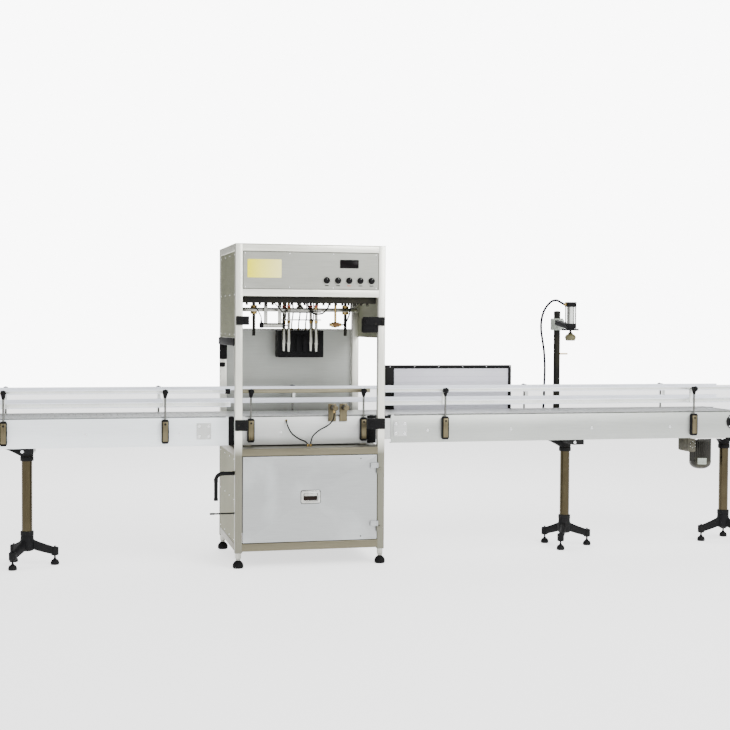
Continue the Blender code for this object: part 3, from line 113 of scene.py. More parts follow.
ARM_START, ARM_REACH, ARM_ROOT_Z, ARM_DROP = 0.018, 0.150, 0.125, 0.049
PANEL_BOX_BOTTOM, PANEL_BOX_DEPTH = 0.800, 0.050
STEM_BOTTOM = 1.292
HOSE_PORT_X, HOSE_PORT_Z = 1.148, 0.762
HOSE_SPACING = 0.006
SMOOTH_ANGLE = math.radians(40)

# ---------------------------------------------------------------- shapes worked out as rings
AXES = {"X": (1, 2, 0), "Y": (2, 0, 1), "Z": (0, 1, 2)}
X, Y, Z = np.eye(3)


def circle(steps):
    """Unit circle as (steps, 2) points."""
    turn = np.linspace(0.0, 2 * np.pi, steps, endpoint=False)
    return np.stack([np.cos(turn), np.sin(turn)], axis=1)


def rounded_rectangle(width, height, radius, points=4):
    """Outline whose corners are quarter circles of the radius round four centres."""
    radius = min(radius, 0.499 * width, 0.499 * height)
    quarter = np.arange(4)[:, None] * np.pi / 2
    turn = (quarter + np.linspace(0.0, np.pi / 2, points)).ravel()
    diagonal = quarter + np.pi / 4
    signs = np.concatenate([np.sign(np.cos(diagonal)), np.sign(np.sin(diagonal))], axis=1)
    centres = np.repeat(signs * (width / 2 - radius, height / 2 - radius), points, axis=0)
    return centres + radius * np.stack([np.cos(turn), np.sin(turn)], axis=1)


def bar(low, high, along="Z", radius=0.002, bevel=0.001):
    """Bar between two corners: a rounded rectangle carried along one axis.

    At both ends the outline shrinks by bevel * (1 - sin t) while it goes bevel * (1 - cos t) inwards.
    """
    low, high = np.minimum(low, high), np.maximum(low, high)
    across, up, length = AXES[along]
    size, middle = high - low, (low + high) / 2
    swing = np.linspace(0.0, np.pi / 2, 3)
    inset = bevel * (1 - np.sin(swing))
    step = bevel * (1 - np.cos(swing))
    stations = np.concatenate([low[length] + step, (high[length] - step)[::-1]])
    insets = np.concatenate([inset, inset[::-1]])
    rings = np.empty((len(stations), 16, 3))
    for ring, station, shrink in zip(rings, stations, insets):
        outline = rounded_rectangle(size[across] - 2 * shrink, size[up] - 2 * shrink,
                                    max(radius - shrink, radius / 4))
        ring[:, across] = middle[across] + outline[:, 0]
        ring[:, up] = middle[up] + outline[:, 1]
        ring[:, length] = station
    return rings


def basis(direction):
    """Two unit vectors square to a direction, and the direction itself."""
    along = np.asarray(direction, float) / np.linalg.norm(direction)
    other = Z if abs(along[2]) < 0.9 else X
    first = np.cross(other, along)
    first /= np.linalg.norm(first)
    return first, np.cross(along, first), along


def fillet(profile, radius, points=4):
    """Profile with each inner corner swapped for a parabola that starts and ends radius away."""
    profile = np.asarray(profile, float)
    rounded = [profile[:1]]
    t = np.linspace(0.0, 1.0, points)[:, None]
    for before, corner, after in zip(profile, profile[1:], profile[2:]):
        near, far = before - corner, after - corner
        reach = min(radius, np.linalg.norm(near) / 2.05, np.linalg.norm(far) / 2.05)
        start = corner + near / np.linalg.norm(near) * reach
        end = corner + far / np.linalg.norm(far) * reach
        rounded.append((1 - t) ** 2 * start + 2 * t * (1 - t) * corner + t ** 2 * end)
    rounded.append(profile[-1:])
    return np.concatenate(rounded)


def turned(profile, place, axis=Z, steps=24, flutes=0, depth=0.0):
    """Turned shape: radius r at height h goes to place + r (cos a, sin a) + h axis.

    Flutes swell the radius by 1 + depth * cos(flutes * a), as on a grip or a finned casing.
    """
    profile = np.asarray(profile, float)
    first, second, along = basis(axis)
    turn = np.linspace(0.0, 2 * np.pi, steps, endpoint=False)
    radius = profile[:, :1] * (1 + depth * np.cos(flutes * turn))
    flat = radius[..., None] * (np.cos(turn)[:, None] * first + np.sin(turn)[:, None] * second)
    return np.asarray(place, float) + flat + profile[:, 1][:, None, None] * along


def rod(start, end, radius, steps=16, chamfer=0.0006):
    """Round bar between two points with a small chamfer at each end."""
    start, end = np.asarray(start, float), np.asarray(end, float)
    length = np.linalg.norm(end - start)
    profile = [(radius - chamfer, 0.0), (radius, chamfer), (radius, length - chamfer),
               (radius - chamfer, length)]
    return turned(profile, start, end - start, steps)


def smooth(points):
    """Points read off the Catmull-Rom curve through a route's own points."""
    knots = np.asarray(points, float)
    padded = np.concatenate([knots[:1], knots, knots[-1:]])
    route = [knots[:1]]
    for before, start, end, after in zip(padded, padded[1:], padded[2:], padded[3:]):
        count = max(2, int(round(np.linalg.norm(end - start) / HOSE_SPACING)))
        t = np.linspace(0.0, 1.0, count + 1)[1:, None]
        route.append(0.5
                     * (2 * start + (end - before) * t + (2 * before - 5 * start + 4 * end - after) * t ** 2
                        + (3 * start - before - 3 * end + after) * t ** 3))
    return np.concatenate(route)


def swept(path, section, aside=Z, scale=None):
    """Section of (across, up) points carried along a path.

    Across is the path's tangent crossed with the aside vector; up is square to both.
    """
    path = np.asarray(path, float)
    tangent = np.gradient(path, axis=0)
    tangent /= np.linalg.norm(tangent, axis=1)[:, None]
    across = np.cross(tangent, aside)
    across /= np.linalg.norm(across, axis=1)[:, None]
    up = np.cross(across, tangent)
    scale = np.ones(len(path)) if scale is None else np.asarray(scale, float)
    section = np.asarray(section, float)
    flat = section[:, 0, None] * across[:, None] + section[:, 1, None] * up[:, None]
    return path[:, None] + scale[:, None, None] * flat


def hose(points, radius, aside, steps=12):
    """Round hose along the smooth curve through its points."""
    return swept(smooth(points), radius * circle(steps), aside)


def window_rings(low, high, profile):
    """Frame round an opening that faces -Y: rounded rectangles that shrink and step back.

    profile is (inset, depth, corner radius); the outline at each is the box less the inset.
    """
    low, high = np.asarray(low, float), np.asarray(high, float)
    rings = np.empty((len(profile), 24, 3))
    for ring, (inset, depth, radius) in zip(rings, profile):
        outline = rounded_rectangle(high[0] - low[0] - 2 * inset, high[2] - low[2] - 2 * inset, radius, 6)
        ring[:, 0] = (low[0] + high[0]) / 2 + outline[:, 0]
        ring[:, 2] = (low[2] + high[2]) / 2 + outline[:, 1]
        ring[:, 1] = low[1] + depth
    return rings


def folded(outline, start, end):
    """Sheet section of (y, z) points carried along X from start to end."""
    rings = np.empty((2, len(outline), 3))
    rings[:, :, 1:] = outline
    rings[0, :, 0] = start
    rings[1, :, 0] = end
    return rings


def stacked(x, y, levels):
    """Outlines of 24 points laid level round an upright line, each at its own height."""
    rings = np.empty((len(levels), 24, 3))
    for ring, (z, outline) in zip(rings, levels):
        ring[:, :2] = (x, y) + outline
        ring[:, 2] = z
    return rings


def thread(low, high, radius, depth, ridges):
    """Profile of a screw: the radius swings by plus and minus depth from one height to the next."""
    swing = depth * np.where(np.arange(ridges) % 2, 1.0, -1.0)
    return np.stack([radius + swing, np.linspace(low, high, ridges)], axis=1)


def hex_head(place, axis=-Y, size=0.007, washer=True):
    """Hexagon bolt head with a chamfered top, on a round washer."""
    shapes = []
    lift = 0.0
    if washer:
        lift = 0.25 * size
        shapes.append(turned([(1.7 * size, 0.0), (1.7 * size, 0.8 * lift), (1.6 * size, lift)], place, axis,
                             16))
    shapes.append(turned([(1.15 * size, lift), (1.15 * size, lift + 0.65 * size),
                          (0.98 * size, lift + 0.85 * size)], place, axis, 6))
    return shapes


def pan_head(place, axis=-Y, size=0.004):
    """Domed screw head: radius falls as the square root of the height left."""
    height = np.linspace(0.0, 0.92, 6)
    profile = np.stack([size * np.sqrt(1 - height ** 2), 0.55 * size * height], axis=1)
    return [turned(profile, place, axis, 14)]


# ---------------------------------------------------------------- pieces
class Piece:
    """Rings gathered into one mesh that rides on a body of the frame."""

    def __init__(self, name, body, material, slot):
        self.name, self.body, self.material, self.slot = name, body, material, slot
        self.points, self.faces, self.count = [], [], 0

    def add(self, rings, closed=False):
        """Skin a stack of rings; open stacks get a face at each end. Faces are made to point out."""
        stack, around = rings.shape[:2]
        points = rings.reshape(-1, 3)
        index = np.arange(stack * around).reshape(stack, around)
        rows = stack if closed else stack - 1
        below = index[:rows]
        above = np.roll(index, -1, axis=0)[:rows]
        quads = np.stack([below, np.roll(below, -1, axis=1), np.roll(above, -1, axis=1), above],
                         axis=-1).reshape(-1, 4)
        faces = quads.tolist()
        if not closed:
            faces += [index[0][::-1].tolist(), index[-1].tolist()]
        middle = points.mean(axis=0)
        corners = points[quads] - middle
        diagonals = np.cross(corners[:, 2] - corners[:, 0], corners[:, 3] - corners[:, 1])
        volume = np.einsum("ij,ij->", corners.mean(axis=1), diagonals)
        if not closed:
            for ring, sign in ((rings[0], -1), (rings[-1], 1)):
                shifted = ring - middle
                area = np.cross(shifted, np.roll(shifted, -1, axis=0)).sum(axis=0)
                volume += sign * shifted.mean(axis=0) @ area
        if volume < 0:
            faces = [face[::-1] for face in faces]
        self.faces += [[corner + self.count for corner in face] for face in faces]
        self.points.append(points)
        self.count += len(points)

    def add_all(self, shapes):
        """Add several stacks of rings."""
        for rings in shapes:
            self.add(rings)

    def build(self, *replaced):
        """Make the mesh, smooth its soft edges, and set its body; the nodes it replaces are hidden."""
        mesh = bpy.data.meshes.new(self.name)
        mesh.from_pydata(np.concatenate(self.points).tolist(), [], self.faces)
        mesh.update()
        mesh.shade_smooth()
        mesh.set_sharp_from_angle(angle=SMOOTH_ANGLE)
        obj = bpy.data.objects.new(self.name, mesh)
        bpy.context.scene.collection.objects.link(obj)
        mesh.materials.append(self.material)
        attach(obj, self.body)
        if replaced:
            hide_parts(*replaced)


# ---------------------------------------------------------------- finishes
def rescale(tree, source, limits, results=(0.0, 1.0), interpolation="LINEAR"):
    """Socket that carries a source from its two limits to two results, and no further."""
    node = tree.nodes.new("ShaderNodeMapRange")
    node.interpolation_type = interpolation
    node.inputs["From Min"].default_value = limits[0]
    node.inputs["From Max"].default_value = limits[1]
    node.inputs["To Min"].default_value = results[0]
    node.inputs["To Max"].default_value = results[1]
    tree.links.new(source, node.inputs["Value"])
    return node.outputs["Result"]


def blend(tree, share, under, colour, kind="MIX"):
    """Socket that goes from the one under it to a colour as the share rises."""
    node = tree.nodes.new("ShaderNodeMix")
    node.data_type = "RGBA"
    node.blend_type = kind
    node.inputs["B"].default_value = (*colour, 1.0)
    tree.links.new(share, node.inputs["Factor"])
    tree.links.new(under, node.inputs["A"])
    return node.outputs["Result"]


def overlay(material, share, colour, kind="MIX"):
    """Blend a colour over a material's base colour."""
    tree = material.node_tree
    base = tree.nodes["Principled BSDF"].inputs["Base Color"]
    tree.links.new(blend(tree, share, base.links[0].from_socket, colour, kind), base)
    return material


def coordinate(tree, axis):
    """Socket with one of the object coordinates."""
    where = tree.nodes.new("ShaderNodeTexCoord")
    split = tree.nodes.new("ShaderNodeSeparateXYZ")
    tree.links.new(where.outputs["Object"], split.inputs["Vector"])
    return split.outputs[axis]


def finish(name, colour, shade, stain, roughness, metallic, grain, bump, stain_size=2.2, coat=0.0,
           stain_share=0.5, gloss=0.5):
    """Surface with fine grain, slow stains, and roughness and bump that follow the grain.

    grain gives how many grains there are in a metre along X, Y and Z; brushed steel has few of them
    along the brushing. Stains come from a slow noise and mix the stain colour in.
    """
    material = bpy.data.materials.new(name)
    material.use_nodes = True
    tree = material.node_tree
    nodes, links = tree.nodes, tree.links
    shader = nodes["Principled BSDF"]
    shader.inputs["Metallic"].default_value = metallic
    shader.inputs["Specular IOR Level"].default_value = gloss
    shader.inputs["Coat Weight"].default_value = coat
    shader.inputs["Coat Roughness"].default_value = 0.15
    where = nodes.new("ShaderNodeTexCoord")
    stretch = nodes.new("ShaderNodeMapping")
    stretch.inputs["Scale"].default_value = grain
    links.new(where.outputs["Object"], stretch.inputs["Vector"])
    fine = nodes.new("ShaderNodeTexNoise")
    fine.inputs["Scale"].default_value = 1.0
    fine.inputs["Detail"].default_value = 5.0
    fine.inputs["Roughness"].default_value = 0.6
    links.new(stretch.outputs["Vector"], fine.inputs["Vector"])
    slow = nodes.new("ShaderNodeTexNoise")
    slow.inputs["Scale"].default_value = stain_size
    slow.inputs["Detail"].default_value = 4.0
    slow.inputs["Distortion"].default_value = 0.4
    links.new(where.outputs["Object"], slow.inputs["Vector"])
    tone = nodes.new("ShaderNodeValToRGB")
    for element, place, tint in zip(tone.color_ramp.elements, (0.30, 0.70), (shade, colour)):
        element.position = place
        element.color = (*tint, 1.0)
    links.new(fine.outputs["Fac"], tone.inputs["Fac"])
    spread = rescale(tree, slow.outputs["Fac"], (0.48, 0.78), (0.0, stain_share))
    links.new(blend(tree, spread, tone.outputs["Color"], stain), shader.inputs["Base Color"])
    links.new(rescale(tree, fine.outputs["Fac"], (0.3, 0.7), roughness), shader.inputs["Roughness"])
    relief = nodes.new("ShaderNodeBump")
    relief.inputs["Strength"].default_value = bump
    relief.inputs["Distance"].default_value = 0.0006
    links.new(fine.outputs["Fac"], relief.inputs["Height"])
    links.new(relief.outputs["Normal"], shader.inputs["Normal"])
    return material


def fading_plate():
    """Enamelled plate whose yellow fades to cream from left to right."""
    material = finish("yellow_enamel", (0.74, 0.68, 0.002), (0.68, 0.62, 0.002), (0.58, 0.52, 0.006),
                      (0.40, 0.52), 0.0, (90, 90, 90), 0.15, 14.0, 0.0, 0.3, 0.08)
    across = coordinate(material.node_tree, "X")
    share = rescale(material.node_tree, across, (PLATE_LEFT, PLATE_LEFT + PLATE_WIDTH), (0.0, 0.75))
    return overlay(material, share, (0.84, 0.78, 0.38))


def shade_below(material, tint, low, high):
    """Mix a tint in below a height as painted shade: share 1 at Z = low, falling evenly to 0 at Z = high.
    """
    height = coordinate(material.node_tree, "Z")
    share = rescale(material.node_tree, height, (low, high), (1.0, 0.0))
    return overlay(material, share, tint, "MULTIPLY")


def lit_panel():
    """Pale diffuser with faint level lines."""
    material = finish("diffuser", (0.62, 0.62, 0.68), (0.56, 0.56, 0.62), (0.48, 0.47, 0.53), (0.32, 0.45),
                      0.0, (40, 40, 260), 0.2, 3.0, 0.2)
    tree = material.node_tree
    where = tree.nodes.new("ShaderNodeTexCoord")
    lines = tree.nodes.new("ShaderNodeTexWave")
    lines.bands_direction = "Z"
    lines.inputs["Scale"].default_value = 9.0
    lines.inputs["Distortion"].default_value = 0.3
    tree.links.new(where.outputs["Object"], lines.inputs["Vector"])
    share = rescale(tree, lines.outputs["Fac"], (0.90, 1.0), (0.0, 0.35))
    return overlay(material, share, (0.40, 0.38, 0.46))


# Posts and beams are made darker below the deck: painted shade on the lower frame.
TUBE_STEEL = shade_below(finish("brushed_tube", (0.78, 0.78, 0.71), (0.64, 0.64, 0.57), (0.50, 0.50, 0.42),
                           (0.26, 0.42), 0.82, (260, 260, 9), 0.22), (0.20, 0.195, 0.17), 0.62, 0.72)
BEAM_STEEL = shade_below(finish("brushed_beam", (0.85, 0.85, 0.77), (0.72, 0.72, 0.64), (0.58, 0.58, 0.48),
                           (0.28, 0.44), 0.82, (9, 260, 260), 0.22), (0.16, 0.145, 0.110), 0.66, 0.72)
SHEET_STEEL = finish("brushed_sheet", (0.34, 0.345, 0.31), (0.27, 0.275, 0.25), (0.22, 0.22, 0.18),
                     (0.30, 0.46), 0.78, (7, 240, 320), 0.18)
DOOR_STEEL = finish("door_sheet", (0.35, 0.36, 0.36), (0.29, 0.30, 0.30), (0.54, 0.57, 0.58), (0.32, 0.48),
                    0.72, (7, 240, 320), 0.16, 2.4, 0.0, 0.8)
# Side panels, upper and lower: the sheet steel made darker and olive as painted shade, since the left side
# stands in shadow.
SHADED_SIDE_STEEL = finish("shaded_side_sheet", (0.255, 0.26, 0.165), (0.195, 0.20, 0.122), (0.32, 0.32, 0.21),
                    (0.30, 0.48), 0.8, (240, 7, 320), 0.18, 1.8)
SHADED_LOWER_SIDE_STEEL = finish("shaded_lower_side_sheet", (0.215, 0.210, 0.145), (0.165, 0.160, 0.108),
                          (0.260, 0.255, 0.185), (0.50, 0.66), 0.15, (240, 7, 320), 0.12, 1.8, 0.0, 0.5,
                          0.12)
DECK_STEEL = finish("deck_sheet", (0.155, 0.148, 0.115), (0.110, 0.104, 0.078), (0.075, 0.070, 0.050),
                    (0.30, 0.46), 0.78, (7, 240, 320), 0.18, 3.0)
CHAMBER_STEEL = finish("chamber_sheet", (0.33, 0.34, 0.32), (0.27, 0.28, 0.26), (0.20, 0.20, 0.17),
                       (0.32, 0.50), 0.75, (7, 240, 320), 0.18, 2.6)
PALE_STEEL = finish("pale_sheet", (0.50, 0.51, 0.50), (0.43, 0.44, 0.43), (0.36, 0.37, 0.34), (0.34, 0.48),
                    0.55, (6, 220, 300), 0.14, 1.6)
INFEED_STEEL = finish("infeed_sheet", (0.80, 0.84, 0.86), (0.72, 0.76, 0.78), (0.62, 0.65, 0.66),
                      (0.34, 0.48), 0.55, (6, 220, 300), 0.14, 1.6)
OUTFEED_STEEL = finish("outfeed_sheet", (0.38, 0.395, 0.375), (0.32, 0.335, 0.315), (0.48, 0.50, 0.47),
                       (0.34, 0.48), 0.55, (6, 220, 300), 0.14, 1.2)
SLAT_STEEL = finish("slat_steel", (0.62, 0.63, 0.62), (0.50, 0.51, 0.50), (0.40, 0.39, 0.35), (0.24, 0.44),
                    0.85, (180, 12, 180), 0.25, 6.0)
LEG_STEEL = finish("leg_steel", (0.054, 0.044, 0.024), (0.036, 0.028, 0.015), (0.085, 0.074, 0.044),
                   (0.20, 0.34), 0.95, (240, 240, 8), 0.2, 5.0)
WHITE_STRIP = finish("white_strip", (0.80, 0.83, 0.90), (0.74, 0.77, 0.84), (0.62, 0.64, 0.70),
                     (0.36, 0.52), 0.0, (14, 160, 160), 0.2, 3.0, 0.1)
BAR_STEEL = finish("guide_bar_steel", (0.200, 0.185, 0.125), (0.150, 0.136, 0.090), (0.100, 0.088, 0.055),
                   (0.30, 0.46), 0.7, (8, 240, 240), 0.2, 5.0)
HOLDER_STEEL = finish("holder_steel", (0.130, 0.112, 0.068), (0.090, 0.076, 0.044), (0.040, 0.030, 0.018),
                      (0.24, 0.4), 0.95, (240, 240, 8), 0.2, 9.0)
ROD_STEEL = finish("rod_steel", (0.17, 0.17, 0.16), (0.11, 0.11, 0.10), (0.06, 0.06, 0.05), (0.14, 0.26),
                   1.0, (60, 60, 60), 0.06, 9.0)
NOZZLE_STEEL = finish("nozzle_steel", (0.40, 0.40, 0.37), (0.30, 0.30, 0.27), (0.17, 0.16, 0.13),
                      (0.12, 0.24), 1.0, (120, 120, 10), 0.1, 12.0)
DARK_CHROME = finish("pull_chrome", (0.50, 0.50, 0.48), (0.38, 0.38, 0.36), (0.16, 0.15, 0.12),
                     (0.10, 0.22), 1.0, (60, 60, 60), 0.06, 14.0)
# Near-black brown for the bar deep in the pull's slot: painted shadow.
SLOT_SHADOW_DARK = finish("slot_shadow", (0.012, 0.006, 0.004), (0.007, 0.004, 0.003), (0.022, 0.012, 0.008),
                     (0.50, 0.70), 0.0, (200, 200, 200), 0.2, 14.0, 0.0, 0.4, 0.1)
VALVE_BROWN = finish("valve_bronze", (0.12, 0.065, 0.025), (0.08, 0.042, 0.016), (0.04, 0.022, 0.010),
                     (0.26, 0.42), 0.8, (150, 150, 150), 0.15, 20.0)
CHROME = finish("plated_steel", (0.80, 0.81, 0.82), (0.70, 0.71, 0.72), (0.52, 0.52, 0.50), (0.08, 0.20),
                1.0, (60, 60, 60), 0.06, 9.0)
ALUMINIUM = finish("anodised_aluminium", (0.74, 0.76, 0.74), (0.64, 0.66, 0.63), (0.50, 0.51, 0.46),
                   (0.24, 0.38), 0.8, (240, 240, 10), 0.15, 8.0)
BRASS = finish("brass", (0.46, 0.33, 0.13), (0.34, 0.23, 0.08), (0.20, 0.12, 0.05), (0.20, 0.38), 1.0,
               (120, 120, 120), 0.15, 20.0)
COPPER_RED = finish("red_fitting", (0.42, 0.09, 0.05), (0.32, 0.06, 0.04), (0.18, 0.04, 0.03), (0.34, 0.5),
                    0.1, (150, 150, 150), 0.15, 20.0)
DARK_STEEL = finish("blackened_steel", (0.010, 0.0095, 0.0080), (0.0055, 0.0055, 0.0050),
                    (0.045, 0.040, 0.018), (0.34, 0.54), 0.4, (90, 90, 90), 0.25, 6.0, 0.0, 0.35, 0.15)
BLACK_MOULDED = finish("black_moulded", (0.0030, 0.0030, 0.0034), (0.0018, 0.0018, 0.0020),
                       (0.008, 0.008, 0.0075), (0.42, 0.60), 0.0, (420, 420, 420), 0.25, 5.0, 0.0, 0.4,
                       0.09)
BLACK_CAST = finish("black_cast", (0.0034, 0.0036, 0.0042), (0.0020, 0.0020, 0.0024), (0.012, 0.011, 0.010),
                    (0.45, 0.66), 0.0, (260, 260, 260), 0.6, 7.0, 0.0, 0.4, 0.11)
RUBBER = finish("rubber", (0.0034, 0.0034, 0.0036), (0.0022, 0.0022, 0.0024), (0.012, 0.0115, 0.0105),
                (0.62, 0.82), 0.0, (330, 330, 330), 0.35, 9.0, 0.0, 0.4, 0.1)
NAVY_HOSE = finish("hose_skin", (0.0035, 0.0038, 0.0085), (0.0020, 0.0022, 0.0055), (0.008, 0.008, 0.015),
                   (0.40, 0.55), 0.0, (200, 200, 200), 0.15, 9.0, 0.0, 0.4, 0.06)
MACHINE_PAINT = finish("grey_enamel", (0.060, 0.056, 0.038), (0.040, 0.037, 0.025), (0.110, 0.100, 0.065),
                       (0.26, 0.42), 0.25, (130, 130, 130), 0.35, 9.0, 0.15, 0.7, 0.3)
MOTOR_PAINT = finish("motor_enamel", (0.016, 0.0155, 0.0115), (0.010, 0.0095, 0.0075),
                     (0.070, 0.065, 0.038), (0.30, 0.46), 0.3, (130, 130, 130), 0.3, 9.0, 0.1, 0.7, 0.25)
CLAMP_PAINT = finish("clamp_enamel", (0.30, 0.33, 0.29), (0.24, 0.27, 0.23), (0.14, 0.15, 0.12),
                     (0.28, 0.44), 0.2, (150, 150, 150), 0.3, 9.0, 0.3)
PAD_FACE = finish("press_pad", (0.078, 0.070, 0.024), (0.056, 0.050, 0.017), (0.036, 0.031, 0.012),
                  (0.42, 0.58), 0.0, (190, 190, 190), 0.3, 16.0, 0.0, 0.6)
WHITE_ENAMEL = finish("white_enamel", (0.82, 0.82, 0.80), (0.76, 0.76, 0.74), (0.62, 0.61, 0.56),
                      (0.28, 0.42), 0.0, (140, 140, 140), 0.2, 6.0, 0.2)
WINDOW = finish("display_window", (0.0012, 0.0010, 0.0011), (0.0008, 0.0006, 0.0008),
                (0.005, 0.0015, 0.0015), (0.16, 0.26), 0.0, (90, 90, 90), 0.03, 12.0, 0.0, 0.4, 0.08)
YELLOW = fading_plate()
DIFFUSER = lit_panel()


# ---------------------------------------------------------------- cabinet
def knuckle(bottom, height):
    """Half of a hinge: a short turned barrel on the door's axis."""
    profile = [(HINGE_BORE, 0.0), (HINGE_RADIUS, 0.0), (HINGE_RADIUS, height), (HINGE_BORE, height)]
    return turned(fillet(profile, 0.0008), (HINGE_X, HINGE_Y, bottom), Z, 20)


def cabinet_tubes():
    """Square tubes of the welded frame, with a bead of weld in each inner corner."""
    tubes = Piece("frame_posts", "machine", TUBE_STEEL, "stainless")
    beams = Piece("frame_beams", "machine", BEAM_STEEL, "stainless")
    bands = ((PANEL_HIGH[2] + 0.001, TOP - 0.001), (HEAD_BOTTOM, PANEL_LOW[2]),
             (DOOR_HIGH[2] + REVEAL, DECK_LOW[2]), (DOOR_LOW[2] - 0.047, DOOR_LOW[2] - REVEAL))
    for x in (LEFT, INNER_RIGHT):
        for y in (FRONT, BACK - TUBE):
            tubes.add(bar((x, y, FRAME_LOW[2]), (x + TUBE, y + TUBE, TOP), "Z", 0.004, 0.0008))
    for y in (FRONT, BACK - TUBE):
        for low, high in bands:
            beams.add(bar((INNER_LEFT - 0.004, y + 0.001, low),
                          (INNER_RIGHT + 0.004, y + TUBE - 0.001, high), "X", 0.0035, 0.0005))
    for x in (LEFT, INNER_RIGHT):
        for low, high in (bands[0], bands[2], bands[3]):
            beams.add(bar((x + 0.001, FRONT + TUBE - 0.004, low),
                          (x + TUBE - 0.001, BACK - TUBE + 0.004, high), "Y", 0.0035, 0.0005))
    for z in HINGES:
        tubes.add(knuckle(z, 0.030))
        tubes.add(bar((HINGE_X, HINGE_Y - 0.0022, z + GAP), (HINGE_X + 0.020, FRONT + 0.001, z + 0.0296),
                      "Z", 0.001, 0.0006))
    tubes.build("cabinet_frame")
    beams.build()

    welds = Piece("frame_welds", "machine", BEAM_STEEL, "stainless")
    for x, side in ((INNER_LEFT, 1), (INNER_RIGHT, -1)):
        for y, depth in ((FRONT + TUBE, -1), (BACK - TUBE, 1)):
            for low, high in bands:
                for edge in (low, high):
                    path = np.linspace((x + side * 0.0012, y - 0.002, edge),
                                       (x + side * 0.0012, y + depth * (TUBE - 0.006), edge), 36)
                    ripple = 1 + 0.22 * np.cos(np.arange(36) * 1.9)
                    welds.add(swept(path, 0.0022 * circle(8), Z, ripple))
    welds.build()


def casing_details():
    """Seals round the front panel, screws on the casing sheets, and the blank plate."""
    seals = Piece("panel_seals", "machine", RUBBER, "rubber")
    profile = [(0.0, 0.0, 0.003), (0.0, -0.0012, 0.003), (0.0016, -0.0012, 0.003), (0.0016, 0.0, 0.003)]
    low, high = PANEL_LOW - (0.0001, 0.0, 0.0001), PANEL_HIGH + (0.0001, 0.0, 0.0001)
    seals.add(window_rings(low, high, profile), closed=True)
    seals.build()

    screws = Piece("casing_screws", "machine", CHROME, "chrome")
    for x in np.linspace(PANEL_LOW[0] + 0.014, PANEL_HIGH[0] - 0.014, 4):
        for z in (PANEL_LOW[2] + 0.010, PANEL_HIGH[2] - 0.010):
            screws.add_all(pan_head((x, PANEL_FACE, z), -Y, 0.0032))
    for node in ("head_left_panel", "lower_left_panel", "head_right_panel", "lower_right_panel"):
        low, high = span(node)
        outward = -X if "left" in node else X
        face = low[0] if "left" in node else high[0]
        for y in np.linspace(low[1] + 0.018, high[1] - 0.018, 4):
            for z in np.linspace(low[2] + 0.018, high[2] - 0.018, 3):
                screws.add_all(pan_head((face, y, z), outward, 0.0040))
    low, high = span("lower_back_panel")
    for x in np.linspace(low[0] + 0.018, high[0] - 0.018, 5):
        for z in (low[2] + 0.018, high[2] - 0.018):
            screws.add_all(pan_head((x, high[1], z), Y, 0.0040))
    back = COVER_HIGH[1]
    for x in np.linspace(LEFT + 0.02, RIGHT - 0.02, 5):
        for z in (HEAD_BOTTOM + 0.02, TOP - 0.02):
            screws.add_all(pan_head((x, back - 0.0005, z), Y, 0.0040))
    screws.build()

    plate = Piece("blank_plate", "machine", YELLOW, "pale_plate")
    plate.add(bar((PLATE_LEFT, PANEL_FACE - 0.0012, PLATE_LOW),
                  (PLATE_LEFT + PLATE_WIDTH, PANEL_FACE, PLATE_HIGH), "Y", 0.004, 0.0004))
    plate.build()
    rivets = Piece("plate_rivets", "machine", ALUMINIUM, "chrome")
    for x in (PLATE_LEFT + 0.007, PLATE_LEFT + PLATE_WIDTH - 0.007):
        for z in (PLATE_LOW + 0.007, PLATE_HIGH - 0.007):
            rivets.add_all(pan_head((x, PANEL_FACE - 0.0012, z), -Y, 0.0022))
    rivets.build()


